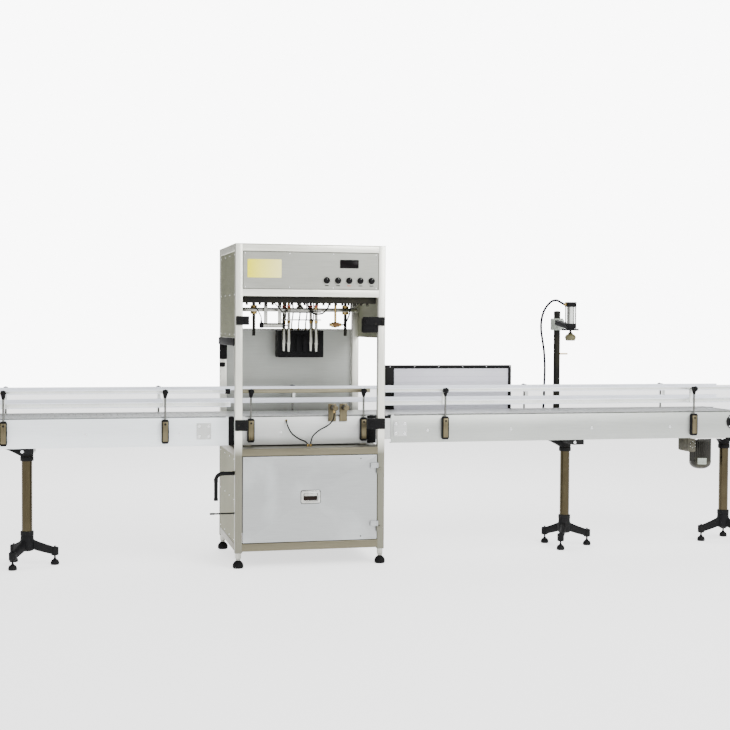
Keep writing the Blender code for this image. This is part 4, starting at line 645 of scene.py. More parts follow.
def door():
    """Pan-folded door with a rounded window, its hinge leaves, and the recessed pull."""
    low = np.array([INNER_LEFT + REVEAL, FRONT, DOOR_LOW[2]])
    high = np.array([INNER_RIGHT - REVEAL, FRONT + 0.018, DOOR_HIGH[2]])
    pull_middle = (PULL_LOW + PULL_HIGH) / 2
    skin = Piece("door_skin", "front_door", DOOR_STEEL, "stainless_sheet")
    across = (high[0] - low[0]) / 2
    up = (high[2] - low[2]) / 2
    half = np.array([PULL_HIGH[0] - PULL_LOW[0], PULL_HIGH[2] - PULL_LOW[2]]) / 2 - 0.006
    stations = [(across, up, 0.018, 0.003), (across, up, 0.003, 0.003),
                (across - 0.0009, up - 0.0009, 0.0009, 0.003), (across - 0.003, up - 0.003, 0.0, 0.003),
                (half[0], half[1], 0.0, 0.006), (half[0], half[1], SHEET, 0.006),
                (across - 0.004, up - 0.004, SHEET, 0.003), (across - SHEET, up - SHEET, 0.004, 0.002),
                (across - SHEET, up - SHEET, 0.018, 0.002)]
    middle = (low + high) / 2
    rings = np.empty((len(stations), 24, 3))
    for index, (ring, (wide, tall, depth, radius)) in enumerate(zip(rings, stations)):
        outline = rounded_rectangle(2 * wide, 2 * tall, radius, points=6)
        centre = pull_middle if index in (4, 5) else middle
        ring[:, 0] = centre[0] + outline[:, 0]
        ring[:, 2] = centre[2] + outline[:, 1]
        ring[:, 1] = FRONT + depth
    skin.add(rings, closed=True)
    for z in HINGES:
        skin.add(knuckle(z + 0.0304, 0.0296))
        skin.add(bar((HINGE_X - 0.040, HINGE_Y - 0.0022, z + 0.031), (HINGE_X, FRONT - GAP, z + 0.0594),
                     "Z", 0.001, 0.0006))
    skin.build("front_door")

    marks = Piece("door_corner_bolts", "front_door", DARK_STEEL, "dark_steel")
    for z in (high[2] - 0.020, low[2] + 0.020):
        marks.add_all(hex_head((-0.161, FRONT, z), -Y, 0.0032, False))
    marks.build()

    pull = Piece("recessed_pull", "front_door", DARK_CHROME, "chrome")
    width, height = PULL_HIGH[0] - PULL_LOW[0], PULL_HIGH[2] - PULL_LOW[2]
    mouth = 0.013
    profile = [(0.0, 0.0022, 0.010), (0.0, 0.0010, 0.010), (0.0012, 0.0, 0.009),
               (mouth - 0.002, 0.0, 0.008), (mouth, 0.0012, 0.007), (mouth, 0.012, 0.007),
               (mouth + 0.004, 0.0155, 0.006)]
    front = window_rings(PULL_LOW, PULL_LOW + (width, 0.0, height), profile)
    back = window_rings(PULL_LOW, PULL_LOW + (width, 0.0, height),
                        [(mouth + 0.003, 0.0162, 0.006), (0.0085, 0.0125, 0.007), (0.0085, 0.0024, 0.007)])
    floor_share, floor_thickness = 0.15, 0.0007
    closing = front[-1:].copy()
    closing[:, :, ::2] = pull_middle[::2] + floor_share * (closing[:, :, ::2] - pull_middle[::2])
    behind = closing + floor_thickness * Y
    pull.add(np.concatenate([front, closing, behind, back]), closed=True)
    lever_low = (PULL_LOW[0] + mouth + 0.004, PULL_LOW[1] + 0.0012, pull_middle[2] + 0.004)
    lever_high = (PULL_HIGH[0] - mouth - 0.004, PULL_LOW[1] + 0.0075, PULL_HIGH[2] - mouth + 0.001)
    pull.add(bar(lever_low, lever_high, "X", 0.0025, 0.001))
    for x in (PULL_LOW[0] + 0.009, PULL_HIGH[0] - 0.009):
        for z in (PULL_LOW[2] + 0.007, PULL_HIGH[2] - 0.007):
            pull.add_all(pan_head((x, PULL_LOW[1] + 0.0003, z), -Y, 0.0022))
    pull.build("door_pull")
    # Dark bar deep in the pull's slot: painted shadow.
    slot = Piece("pull_shadow_liner", "front_door", SLOT_SHADOW_DARK, "rubber")
    slot.add(bar((PULL_LOW[0] + mouth + 0.003, PULL_LOW[1] + 0.0125, PULL_LOW[2] + mouth + 0.002),
                 (PULL_HIGH[0] - mouth - 0.003, PULL_LOW[1] + 0.0148, pull_middle[2] + 0.006), "X", 0.001,
                 0.0006))
    slot.build()
    # Thin black ring round the pull: painted shadow of the gap round its bezel.
    shadow_gap_ring = Piece("pull_shadow_gap_ring", "front_door", RUBBER, "rubber")
    profile = [(0.0, 0.0, 0.011), (0.0006, -0.0006, 0.011), (0.0030, -0.0006, 0.009), (0.0034, 0.0, 0.009)]
    shadow_gap_low = np.array([PULL_LOW[0] - 0.0032, FRONT, PULL_LOW[2] - 0.0032])
    shadow_gap_high = np.array([PULL_HIGH[0] + 0.0032, FRONT, PULL_HIGH[2] + 0.0032])
    shadow_gap_ring.add(window_rings(shadow_gap_low, shadow_gap_high, profile), closed=True)
    shadow_gap_ring.build()


def controls():
    """Fluted knobs with pale pointers, ticks below them, and the display in its bezel."""
    ticks = Piece("panel_ticks", "machine", BLACK_MOULDED, "black_plastic")
    red = Piece("panel_red_mark", "machine", COPPER_RED, "black_plastic")
    for number in range(1, 6):
        low, high = span(f"knob_{number}")
        centre = np.array([(low[0] + high[0]) / 2, high[1], (low[2] + high[2]) / 2])
        radius = (high[0] - low[0]) / 2
        rise = high[1] - low[1]
        body = f"knob_{number}"
        knob = Piece(f"control_knob_{number}", body, BLACK_MOULDED, "black_plastic")
        skirt = [(radius * 0.98, 0.0), (radius, 0.001), (radius, 0.004), (radius * 0.93, 0.0056)]
        knob.add(turned(fillet([*skirt, (radius * 0.70, 0.0062)], 0.001), centre, -Y, 40))
        grip = fillet([(radius * 0.78, 0.0055), (radius * 0.76, rise - 0.002), (radius * 0.66, rise),
                       (radius * 0.30, rise - 0.0008)], 0.0015)
        knob.add(turned(grip, centre, -Y, 48, 12, 0.045))
        knob.build(body)
        pointer = Piece(f"knob_pointer_{number}", body, ALUMINIUM, "white_plastic")
        pointer.add(bar((centre[0] - 0.0006, centre[1] - rise + 0.0002, centre[2] + radius * 0.36),
                        (centre[0] + 0.0006, centre[1] - rise + 0.0012, centre[2] + radius * 0.62), "Z",
                        0.0002, 0.0001))
        pointer.build()
        for turn in np.radians(np.arange(-135, 136, 27)):
            spot = centre + 1.22 * radius * (np.sin(turn) * X + np.cos(turn) * Z)
            ticks.add(turned([(0.0011, 0.0), (0.0009, 0.0003)], (spot[0], PANEL_FACE, spot[2]), -Y, 8))
        target = red if number == 3 else ticks
        target.add(bar((centre[0] - 0.011, PANEL_FACE - 0.0004, centre[2] - 0.0308),
                       (centre[0] + 0.011, PANEL_FACE, centre[2] - 0.0262), "X", 0.0006, 0.0002))
    ticks.build()
    red.build()

    low, high = span("counter_display")
    bezel = Piece("display_bezel", "machine", BLACK_MOULDED, "black_plastic")
    depth = high[1] - low[1]
    profile = [(0.0, depth, 0.004), (0.0, 0.0012, 0.004), (0.0012, 0.0, 0.003), (0.0040, 0.0, 0.002),
               (0.0052, 0.0012, 0.0015), (0.0052, depth, 0.0015)]
    bezel.add(window_rings(low, high, profile), closed=True)
    bezel.build("counter_display")
    glass = Piece("display_glass", "machine", WINDOW, "black_plastic")
    glass.add(bar(low + (0.0053, 0.0014, 0.0053), (high[0] - 0.0053, high[1] - GAP, high[2] - 0.0053), "Y",
                  0.0012, 0.0004))
    glass.build()


def post_blocks():
    """Black moulded blocks that clamp the chamber's sliding guards to the posts, and black bars of painted
    shade on the left side.
    """
    blocks = Piece("guard_blocks_and_side_shade", "machine", BLACK_MOULDED, "black_plastic")
    front = FRONT - 0.016
    for low, high in (((LEFT + 0.002, front, 1.341), (LEFT + 0.074, FRONT + 0.010, 1.390)),
                      ((RIGHT - 0.129, front + 0.004, 1.341), (RIGHT - 0.003, FRONT + 0.010, 1.390)),
                      ((RIGHT - 0.129, FRONT - 0.004, 1.302), (RIGHT - 0.046, FRONT + 0.040, 1.382)),
                      ((LEFT - 0.001, front, 0.760), (LEFT + 0.065, FRONT + 0.012, 0.820)),
                      ((RIGHT - 0.103, front, 0.760), (RIGHT - 0.001, FRONT + 0.012, 0.820)),
                      # These last three bars are painted shade: the dark top of the left side opening and
                      # the shaded back-left post.
                      ((LEFT - 0.010, FRONT + 0.030, 1.226), (LEFT + 0.012, BACK - 0.030, 1.268)),
                      ((LEFT - 0.006, BACK - 0.075, 1.138), (LEFT + 0.036, BACK - 0.038, 1.232)),
                      ((LEFT - 0.006, BACK - 0.065, 1.092), (LEFT + 0.026, BACK - 0.038, 1.118))):
        blocks.add(bar(low, high, "X", 0.006, 0.003))
    for x, z in ((LEFT + 0.055, 1.365), (RIGHT - 0.110, 1.365), (LEFT + 0.045, 0.790),
                 (RIGHT - 0.080, 0.790)):
        blocks.add(turned(fillet([(0.012, 0.0), (0.012, 0.003), (0.009, 0.005), (0.004, 0.0052)], 0.001),
                          (x, front + 0.001, z), -Y, 24, 8, 0.05))
    blocks.build()
    bolts = Piece("guard_block_bolts", "machine", DARK_STEEL, "dark_steel")
    for x, z in ((LEFT + 0.020, 1.365), (RIGHT - 0.020, 1.365), (RIGHT - 0.060, 1.352),
                 (LEFT + 0.016, 0.790), (RIGHT - 0.018, 0.790)):
        bolts.add_all(hex_head((x, front + 0.003, z), -Y, 0.0040))
    bolts.build()


def feet():
    """Threaded studs with a nut, in ribbed rubber cones."""
    studs = Piece("foot_studs", "machine", NOZZLE_STEEL, "chrome")
    for number in range(1, 5):
        low, high = span(f"levelling_foot_{number}")
        place = (low + high) / 2 * (1, 1, 0)
        radius, top = (high[0] - low[0]) / 2, high[2]
        studs.add(turned(thread(0.040, 0.056, 0.0092, 0.0009, 41), place, Z, 20))
        studs.add(turned([(0.0150, 0.0520), (0.0165, 0.0535), (0.0165, top)], place, Z, 32))
        studs.add(turned([(0.0120, 0.0440), (0.0140, 0.0455), (0.0140, 0.0500), (0.0120, 0.0515)], place, Z,
                         6))
        cone = Piece(f"foot_cone_{number}", "machine", RUBBER, "rubber")
        profile = [(radius * 0.86, 0.0), (radius, 0.006), (radius, 0.018), (radius * 0.92, 0.026),
                   (radius * 0.74, 0.034), (radius * 0.50, 0.040), (radius * 0.40, 0.042)]
        cone.add(turned(fillet(profile, 0.003), place, Z, 36))
        cone.build(f"levelling_foot_{number}")
    studs.build()


def side_pipes():
    """Elbow and thin pipe at the lower left, each with its nut and flange."""
    low, high = span("inlet_elbow")
    y, radius = (low[1] + high[1]) / 2, (high[1] - low[1]) / 2
    corner, top, bend = low[0] + radius, high[2] - radius, 0.036
    turn = np.linspace(0.0, np.pi / 2, 10)
    arc = np.stack([corner + bend - bend * np.sin(turn), np.full(10, y), top - bend + bend * np.cos(turn)],
                   1)
    elbow = Piece("elbow_pipe", "machine", BLACK_MOULDED, "black_plastic")
    elbow.add(swept(np.concatenate([[(high[0], y, top)], arc, [(corner, y, low[2])]]),
                    (radius - 0.0012) * circle(24), Y))
    for start, end in (((high[0], y, top), (high[0] - 0.010, y, top)),
                       ((corner + bend + 0.010, y, top), (corner + bend - 0.008, y, top)),
                       ((corner, y, top - bend + 0.008), (corner, y, top - bend - 0.012)),
                       ((corner, y, low[2]), (corner, y, low[2] + 0.014))):
        elbow.add(rod(start, end, radius, 28, 0.001))
    elbow.build("inlet_elbow")
    low, high = span("air_inlet_pipe")
    y, z = (low[1] + high[1]) / 2, (low[2] + high[2]) / 2
    pipe = Piece("air_pipe", "machine", DARK_STEEL, "black_paint")
    pipe.add(rod((high[0], y, z), (low[0] + 0.010, y, z), 0.0045, 20))
    pipe.add(rod((low[0] + 0.026, y, z), (low[0], y, z), 0.006, 6, 0.0006))
    pipe.add(rod((high[0], y, z), (high[0] - 0.006, y, z), 0.006, 24, 0.001))
    pipe.build("air_inlet_pipe")


# ---------------------------------------------------------------- filling chamber
def nozzle_carriage():
    """Beam with the lift rod's socket, and a collar above and below it on each guide rod."""
    low, high = span("nozzle_beam")
    beam = Piece("nozzle_carriage", "nozzle_head", NOZZLE_STEEL, "chrome")
    beam.add(bar((low[0], low[1], BEAM_Z - 0.011), (high[0], high[1], BEAM_Z + 0.011), "X", 0.003, 0.001))
    beam.add(rod((MIDDLE, 0, BEAM_Z), (MIDDLE, 0, high[2]), 0.008, 24))
    beam.add(turned(fillet([(0.020, 0.0), (0.020, 0.008), (0.013, 0.010), (0.013, 0.018), (0.009, 0.018)],
                           0.001), (MIDDLE, 0, BEAM_Z + 0.010), Z, 28))
    beam.build("nozzle_beam")
    collars = Piece("carriage_collars", "nozzle_head", BRASS, "chrome")
    for x in (MIDDLE - 0.2695, MIDDLE + 0.2695):
        inner, outer = 0.0102, 0.019
        for base, rise in ((BEAM_Z + 0.011, 0.014), (BEAM_Z - 0.025, 0.014)):
            rings = turned([(inner, 0.0), (outer, 0.0), (outer, rise), (inner, rise)], (x, 0, base), Z, 28)
            collars.add(rings, closed=True)
    collars.build()


def nozzles():
    """Two pairs of nozzles with their unions and red rings, and the thin lines across them."""
    for side in ("left", "right"):
        low, high = span(f"nozzle_pair_{side}")
        x = (low[0] + high[0]) / 2
        tubes = Piece(f"nozzles_{side}", "nozzle_head", NOZZLE_STEEL, "stainless")
        unions = Piece(f"nozzle_unions_{side}", "nozzle_head", BRASS, "chrome")
        rings_red = Piece(f"nozzle_red_rings_{side}", "nozzle_head", COPPER_RED, "black_plastic")
        for top in (BEAM_Z - 0.0116, BEAM_Z - 0.0556):
            tubes.add(bar((low[0], low[1], top - 0.006), (high[0], high[1], top), "Y", 0.002, 0.001))
        for y in (-0.080, 0.080):
            profile = fillet([(0.0045, 0.0), (0.0062, 0.0), (0.0080, 0.040), (0.0100, 0.046),
                              (0.0100, 0.130), (0.0082, 0.134), (0.0082, 0.248), (0.0070, 0.250)], 0.002)
            tubes.add(turned(profile, (x, y, low[2]), Z, 28))
            unions.add(rod((x, y, BEAM_Z - 0.078), (x, y, BEAM_Z - 0.062), 0.0108, 6, 0.001))
            unions.add(rod((x, y, BEAM_Z + 0.001), (x, y, BEAM_Z + 0.014), 0.0110, 6, 0.001))
            unions.add(rod((x, y, BEAM_Z + 0.026), (x, y, high[2]), 0.0075, 20, 0.001))
            rings_red.add(rod((x, y, BEAM_Z + 0.014), (x, y, BEAM_Z + 0.027), 0.0108, 28, 0.0015))
        tubes.build(f"nozzle_pair_{side}")
        unions.build()
        rings_red.build()

    lines = Piece("nozzle_cross_lines", "nozzle_head", RUBBER, "rubber")
    inner_left, inner_right = span("nozzle_pair_left")[1][0], span("nozzle_pair_right")[0][0]
    for y, drop in ((-0.098, 0.014), (-0.098, 0.058), (0.098, 0.014), (0.098, 0.058)):
        lines.add(rod((inner_left - 0.046, y, BEAM_Z - drop), (inner_right + 0.046, y, BEAM_Z - drop),
                      0.0032, 14, 0.0008))
    lines.build()


def chamber_fittings():
    """Valve with its handle, the fittings under the head, and the manifold behind its edge."""
    fixed = Piece("chamber_fittings", "machine", BRASS, "chrome")
    y = FITTINGS_Y
    fixed.add(rod((VALVE_X, y, HEAD_BOTTOM), (VALVE_X, y, VALVE_Z), 0.007, 20))
    fixed.add(turned(fillet([(0.008, -0.024), (0.014, -0.022), (0.014, -0.010), (0.018, 0.0),
                             (0.014, 0.010), (0.014, 0.022), (0.008, 0.024)], 0.003), (VALVE_X, y, VALVE_Z),
                     X, 28))
    fixed.add(rod((VALVE_X - 0.034, y, VALVE_Z), (VALVE_X - 0.022, y, VALVE_Z), 0.011, 6, 0.001))
    fixed.add(rod((VALVE_X + 0.022, y, VALVE_Z), (VALVE_X + 0.034, y, VALVE_Z), 0.011, 6, 0.001))
    for x in (-0.760, -0.640, -0.450, -0.330, -0.190):
        for depth in (-0.255, -0.210):
            fixed.add(rod((x, depth, HEAD_BOTTOM), (x, depth, HEAD_BOTTOM - 0.010), 0.010, 6, 0.001))
            fixed.add(rod((x, depth, HEAD_BOTTOM - 0.009), (x, depth, HEAD_BOTTOM - 0.026), 0.006, 18,
                          0.001))
    fixed.build()
    manifold = Piece("air_manifold", "machine", DARK_STEEL, "dark_steel")
    manifold.add(bar((INNER_LEFT + 0.004, FRONT + 0.044, HEAD_BOTTOM - 0.036),
                     (INNER_RIGHT - 0.004, FRONT + 0.066, HEAD_BOTTOM - 0.0004), "X", 0.003, 0.002))
    for x in np.arange(INNER_LEFT + 0.030, INNER_RIGHT - 0.020, 0.036):
        manifold.add(rod((x, FRONT + 0.055, HEAD_BOTTOM - 0.034), (x, FRONT + 0.055, HEAD_BOTTOM - 0.048),
                         0.0075, 6, 0.001))
    manifold.build()
    handle = Piece("valve_handle", "machine", VALVE_BROWN, "black_plastic")
    handle.add(bar((VALVE_X - 0.017, y - 0.030, VALVE_Z - 0.010),
                   (VALVE_X + 0.017, y - 0.024, VALVE_Z + 0.010), "X", 0.005, 0.001))
    handle.add(rod((VALVE_X, y - 0.012, VALVE_Z), (VALVE_X, y - 0.028, VALVE_Z), 0.004, 14))
    handle.build()


def side_air_cylinder():
    """Small air cylinder on two hangers, with black ends and fittings."""
    y = FITTINGS_Y
    small = Piece("side_air_cylinder", "machine", NOZZLE_STEEL, "chrome")
    small.add(rod((-0.690, y, AIR_CYLINDER_Z), (-0.570, y, AIR_CYLINDER_Z), 0.013, 28, 0.001))
    small.add(rod((-0.570, y, AIR_CYLINDER_Z), (-0.545, y, AIR_CYLINDER_Z), 0.004, 16))
    for x in (-0.672, -0.592):
        small.add(bar((x - 0.010, y - 0.004, 1.352), (x + 0.010, y + 0.004, HEAD_BOTTOM), "Z", 0.001,
                      0.001))
    small.build()
    ends = Piece("side_cylinder_ends", "machine", BLACK_MOULDED, "black_plastic")
    ends.add(rod((-0.706, y, AIR_CYLINDER_Z), (-0.686, y, AIR_CYLINDER_Z), 0.0155, 28, 0.0015))
    ends.add(rod((-0.578, y, AIR_CYLINDER_Z), (-0.562, y, AIR_CYLINDER_Z), 0.0155, 28, 0.0015))
    for x in (-0.697, -0.570):
        ends.add(rod((x, y, 1.350), (x, y, 1.368), 0.005, 16))
    ends.build()


def chamber_hoses():
    """Hoses from the air cylinder, the valve and the valve box up to the head's underside."""
    y = FITTINGS_Y
    hoses = Piece("chamber_air_hoses", "machine", RUBBER, "rubber")
    hoses.add(hose([(-0.697, y, 1.366), (-0.700, y, 1.392), (-0.722, y - 0.006, 1.430),
                    (-0.748, -0.190, 1.468), (-0.760, -0.210, LINE_TOP)], 0.0032, X))
    hoses.add(hose([(-0.570, y, 1.366), (-0.568, y, 1.395), (-0.590, y - 0.010, 1.430),
                    (-0.630, -0.195, 1.465), (-0.640, -0.210, LINE_TOP)], 0.0032, X))
    hoses.add(hose([(VALVE_X + 0.032, y, VALVE_Z), (VALVE_X + 0.056, y, VALVE_Z + 0.006),
                    (VALVE_X + 0.078, y - 0.020, VALVE_Z + 0.060), (-0.190, -0.205, 1.468),
                    (-0.190, -0.210, LINE_TOP)], 0.0045, Y))
    hoses.add(hose([(-0.450, -0.255, LINE_TOP), (-0.446, -0.256, 1.440), (-0.420, -0.258, 1.408),
                    (-0.370, -0.258, 1.408), (-0.336, -0.256, 1.440), (-0.330, -0.255, LINE_TOP)], 0.0045,
                   Y))
    low, high = span("valve_box")
    for x in np.linspace(low[0] + 0.050, high[0] - 0.050, 5):
        hoses.add(hose([(x, high[1] - 0.040, high[2] + 0.010), (x, high[1] - 0.040, high[2] + 0.040),
                        (x + 0.006, high[1] - 0.052, 1.420), (x, high[1] - 0.060, HEAD_BOTTOM - 0.012),
                        (x, high[1] - 0.060, HEAD_BOTTOM)], 0.004, X))
    hoses.build()


def valve_box():
    """Ribbed black housing with a row of brass ports on top."""
    low, high = span("valve_box")
    housing = Piece("valve_housing", "machine", BLACK_CAST, "black_paint")
    housing.add(bar(low, high, "X", 0.008, 0.004))
    for x in np.linspace(low[0] + 0.035, high[0] - 0.035, 6):
        housing.add(bar((x - 0.014, low[1] - 0.010, low[2] + 0.030),
                        (x + 0.014, low[1] + 0.004, high[2] - 0.030), "Z", 0.004, 0.002))
    housing.build("valve_box")
    ports = Piece("valve_ports", "machine", BRASS, "chrome")
    for x in np.linspace(low[0] + 0.050, high[0] - 0.050, 5):
        ports.add(rod((x, high[1] - 0.040, high[2]), (x, high[1] - 0.040, high[2] + 0.012), 0.007, 6,
                      0.001))
    ports.build()


def bottle_stops():
    """Air cylinders with brass nuts and fittings, their rods, and the two thin hoses."""
    for number, x in enumerate(STOPS, start=1):
        low, high = span(f"stop_cylinder_{number}")
        z, radius, length = (low[2] + high[2]) / 2, (high[0] - low[0]) / 2, high[1] - low[1]
        barrel = Piece(f"stop_barrel_{number}", "machine", HOLDER_STEEL, "chrome")
        profile = fillet([(radius * 0.86, 0.006), (radius, 0.008), (radius, 0.022), (radius * 0.90, 0.024),
                          (radius * 0.90, length - 0.016), (radius, length - 0.014),
                          (radius, length - 0.002), (radius * 0.8, length)], 0.0015)
        barrel.add(turned(profile, (x, high[1], z), -Y, 32))
        barrel.build(f"stop_cylinder_{number}")
        nut = Piece(f"stop_nut_{number}", "machine", BRASS, "chrome")
        nut.add(turned([(radius * 0.66, 0.0), (radius * 0.78, 0.001), (radius * 0.78, 0.006),
                        (radius * 0.66, 0.0068)], (x, high[1], z), -Y, 6))
        nut.build()
        low, high = span(f"stop_rod_{number}")
        rod_piece = Piece(f"stop_plunger_{number}", f"stop_rod_{number}", CHROME, "chrome")
        rod_piece.add(rod((x, low[1], z), (x, high[1] - 0.006, z), 0.005, 20))
        rod_piece.build(f"stop_rod_{number}")
        button = Piece(f"stop_button_{number}", f"stop_rod_{number}", RUBBER, "rubber")
        button.add(turned(fillet([(0.0060, 0.0), (0.010, 0.001), (0.010, 0.009), (0.0085, 0.012),
                                  (0.003, 0.012)], 0.002), (x, high[1] - 0.012, z), Y, 24))
        button.build()
    deck = DECK_HIGH[2] + 0.0015
    face = -PLATE_Y - GAP
    left = [(-0.564, face - GAP, 0.806), (-0.564, face - 0.010, 0.806), (-0.562, face - 0.028, 0.782),
            (-0.540, face - 0.038, 0.737), (-0.500, face - 0.040, 0.705), (-0.462, face - 0.040, 0.688),
            (-0.448, face - 0.040, deck + 0.010), (-0.446, face - 0.040, deck)]
    right = [(STOPS[0], face - 0.060, 0.8617), (STOPS[0], face - 0.060, 0.840),
             (-0.306, face - 0.055, 0.808), (-0.332, face - 0.045, 0.778), (-0.378, face - 0.040, 0.752),
             (-0.416, face - 0.040, 0.720), (-0.428, face - 0.040, 0.690),
             (-0.430, face - 0.040, deck + 0.010), (-0.430, face - 0.040, deck)]
    for number, route in ((1, left), (2, right)):
        line = Piece(f"stop_line_{number}", "machine", RUBBER, "rubber")
        line.add(hose(route, 0.0038, X))
        line.build(f"stop_hose_{number}")
    fittings = Piece("stop_line_fittings", "machine", BRASS, "chrome")
    fittings.add(rod((-0.564, face + 0.001, 0.806), (-0.564, face - 0.012, 0.806), 0.0062, 6, 0.0008))
    fittings.add(rod((STOPS[0], face - 0.060, 0.8630), (STOPS[0], face - 0.060, 0.848), 0.0058, 6, 0.0008))
    for x in (-0.446, -0.430):
        fittings.add(rod((x, face - 0.040, DECK_HIGH[2]), (x, face - 0.040, DECK_HIGH[2] + 0.012), 0.0062,
                         6, 0.0008))
    fittings.build()


# ---------------------------------------------------------------- conveyor
def side_plate(start, end, side):
    """Section of a side plate: 3 mm sheet with a safe edge on top and a lip folded in below."""
    outer, inner = PLATE_Y, PLATE_Y - PLATE
    outline = [(inner - 0.004, SIDE_TOP - 0.0034), (inner - 0.0035, SIDE_TOP - 0.0008),
               (inner + 0.0008, SIDE_TOP), (outer - 0.0008, SIDE_TOP), (outer, SIDE_TOP - 0.0010),
               (outer, SIDE_LOW + 0.004), (outer - 0.0012, SIDE_LOW + 0.0012), (outer - 0.004, SIDE_LOW),
               (PLATE_Y - 0.035, SIDE_LOW), (PLATE_Y - 0.035, SIDE_LOW + PLATE),
               (inner - 0.002, SIDE_LOW + PLATE), (inner, SIDE_LOW + PLATE + 0.002),
               (inner, SIDE_TOP - 0.0034)]
    return folded([(side * y, z) for y, z in outline], start, end)


def holder(x, side):
    """Square tube on the side plate, with the rod's bore down its middle."""
    square = rounded_rectangle(HOLDER_SIZE, HOLDER_SIZE, 0.003, 6)
    hole = HOLDER_BORE * circle(24)
    levels = [(HOLDER_LOW, square * 0.96), (HOLDER_LOW + 0.001, square), (HOLDER_TOP - 0.001, square),
              (HOLDER_TOP, square * 0.96), (HOLDER_TOP, hole), (HOLDER_LOW, hole)]
    return stacked(x, side * HOLDER_Y, levels)


def cap_ring(x, y, low, high):
    """Moulded cap round the holder's end, open for the rod."""
    square = rounded_rectangle(HOLDER_SIZE + 0.0018, HOLDER_SIZE + 0.0018, 0.004, 6)
    hole = (HOLDER_BORE + 0.0001) * circle(24)
    levels = [(low, square * 0.95), (low + 0.0012, square), (high - 0.0012, square), (high, square * 0.93),
              (high, hole), (low, hole)]
    return stacked(x, y, levels)


def conveyor_sections(bolts, holder_bolts):
    """Three sections of side plates and crossbars, with the rods' holders and their caps."""
    sections = (("infeed", INFEED, FRONT_BRACKETS["infeed_guide_rail"], INFEED_STEEL),
                ("middle", SECTION, FRONT_BRACKETS["chamber_guide_bar"], PALE_STEEL),
                ("outfeed", OUTFEED, FRONT_BRACKETS["outfeed_guide_rail"], OUTFEED_STEEL))
    caps = Piece("holder_caps", "machine", BLACK_MOULDED, "black_plastic")
    holders = Piece("rod_holders", "machine", HOLDER_STEEL, "stainless")
    for name, (start, end), front_brackets, sheet_steel in sections:
        sheets = Piece(f"side_plates_{name}", "machine", sheet_steel, "pale_plate")
        bars = Piece(f"crossbars_{name}", "machine", BEAM_STEEL, "stainless")
        for side in (-1, 1):
            sheets.add(side_plate(start, end, side))
        for x in np.arange(start + 0.22, end - 0.15, 0.51):
            bars.add(bar((x - 0.015, -PLATE_Y + PLATE, SIDE_LOW + 0.055),
                         (x + 0.015, PLATE_Y - PLATE, SIDE_LOW + 0.085), "Y", 0.003, 0.001))
            for side in (-1, 1):
                bolts.add_all(hex_head((x, side * PLATE_Y, SIDE_LOW + 0.070), side * Y, 0.0042))
        back_brackets = [x for x in BACK_BRACKETS if start < x < end]
        for side, places in ((-1, front_brackets), (1, back_brackets)):
            for x in places:
                holders.add(holder(x, side), closed=True)
                for cheek in (-1, 1):
                    low_x, high_x = sorted((x + cheek * 0.0146, x + cheek * 0.0196))
                    caps.add(bar((low_x, side * HOLDER_Y - 0.0145, HOLDER_LOW + 0.003),
                                 (high_x, side * HOLDER_Y + 0.0145, HOLDER_TOP - 0.003), "Z", 0.002, 0.001))
                holder_bolts.add_all(hex_head((x, side * (HOLDER_Y + 0.0148), HOLDER_TOP - 0.022), side * Y,
                                              0.0036))
                for low, high in ((HOLDER_LOW - 0.004, HOLDER_LOW + 0.008),
                                  (HOLDER_TOP - 0.008, HOLDER_TOP + 0.003)):
                    caps.add(cap_ring(x, side * HOLDER_Y, low, high), closed=True)
        if name == "middle":
            for x in (start + 0.035, end - 0.035):
                for side in (-1, 1):
                    bars.add(bar((x - 0.0175, side * (PLATE_Y - 0.006), DECK_HIGH[2] + GAP),
                                 (x + 0.0175, side * (PLATE_Y - 0.030), SIDE_LOW + 0.001), "Z", 0.003,
                                 0.001))
            for x in STOPS:
                holders.add(bar((x - 0.0224, -PLATE_Y - 0.010, SIDE_TOP - 0.032),
                                (x + 0.0224, -PLATE_Y + 0.0015, 0.8972), "Z", 0.003, 0.001))
        sheets.build(f"conveyor_frame_{name}")
        bars.build()
    holders.build()
    caps.build()


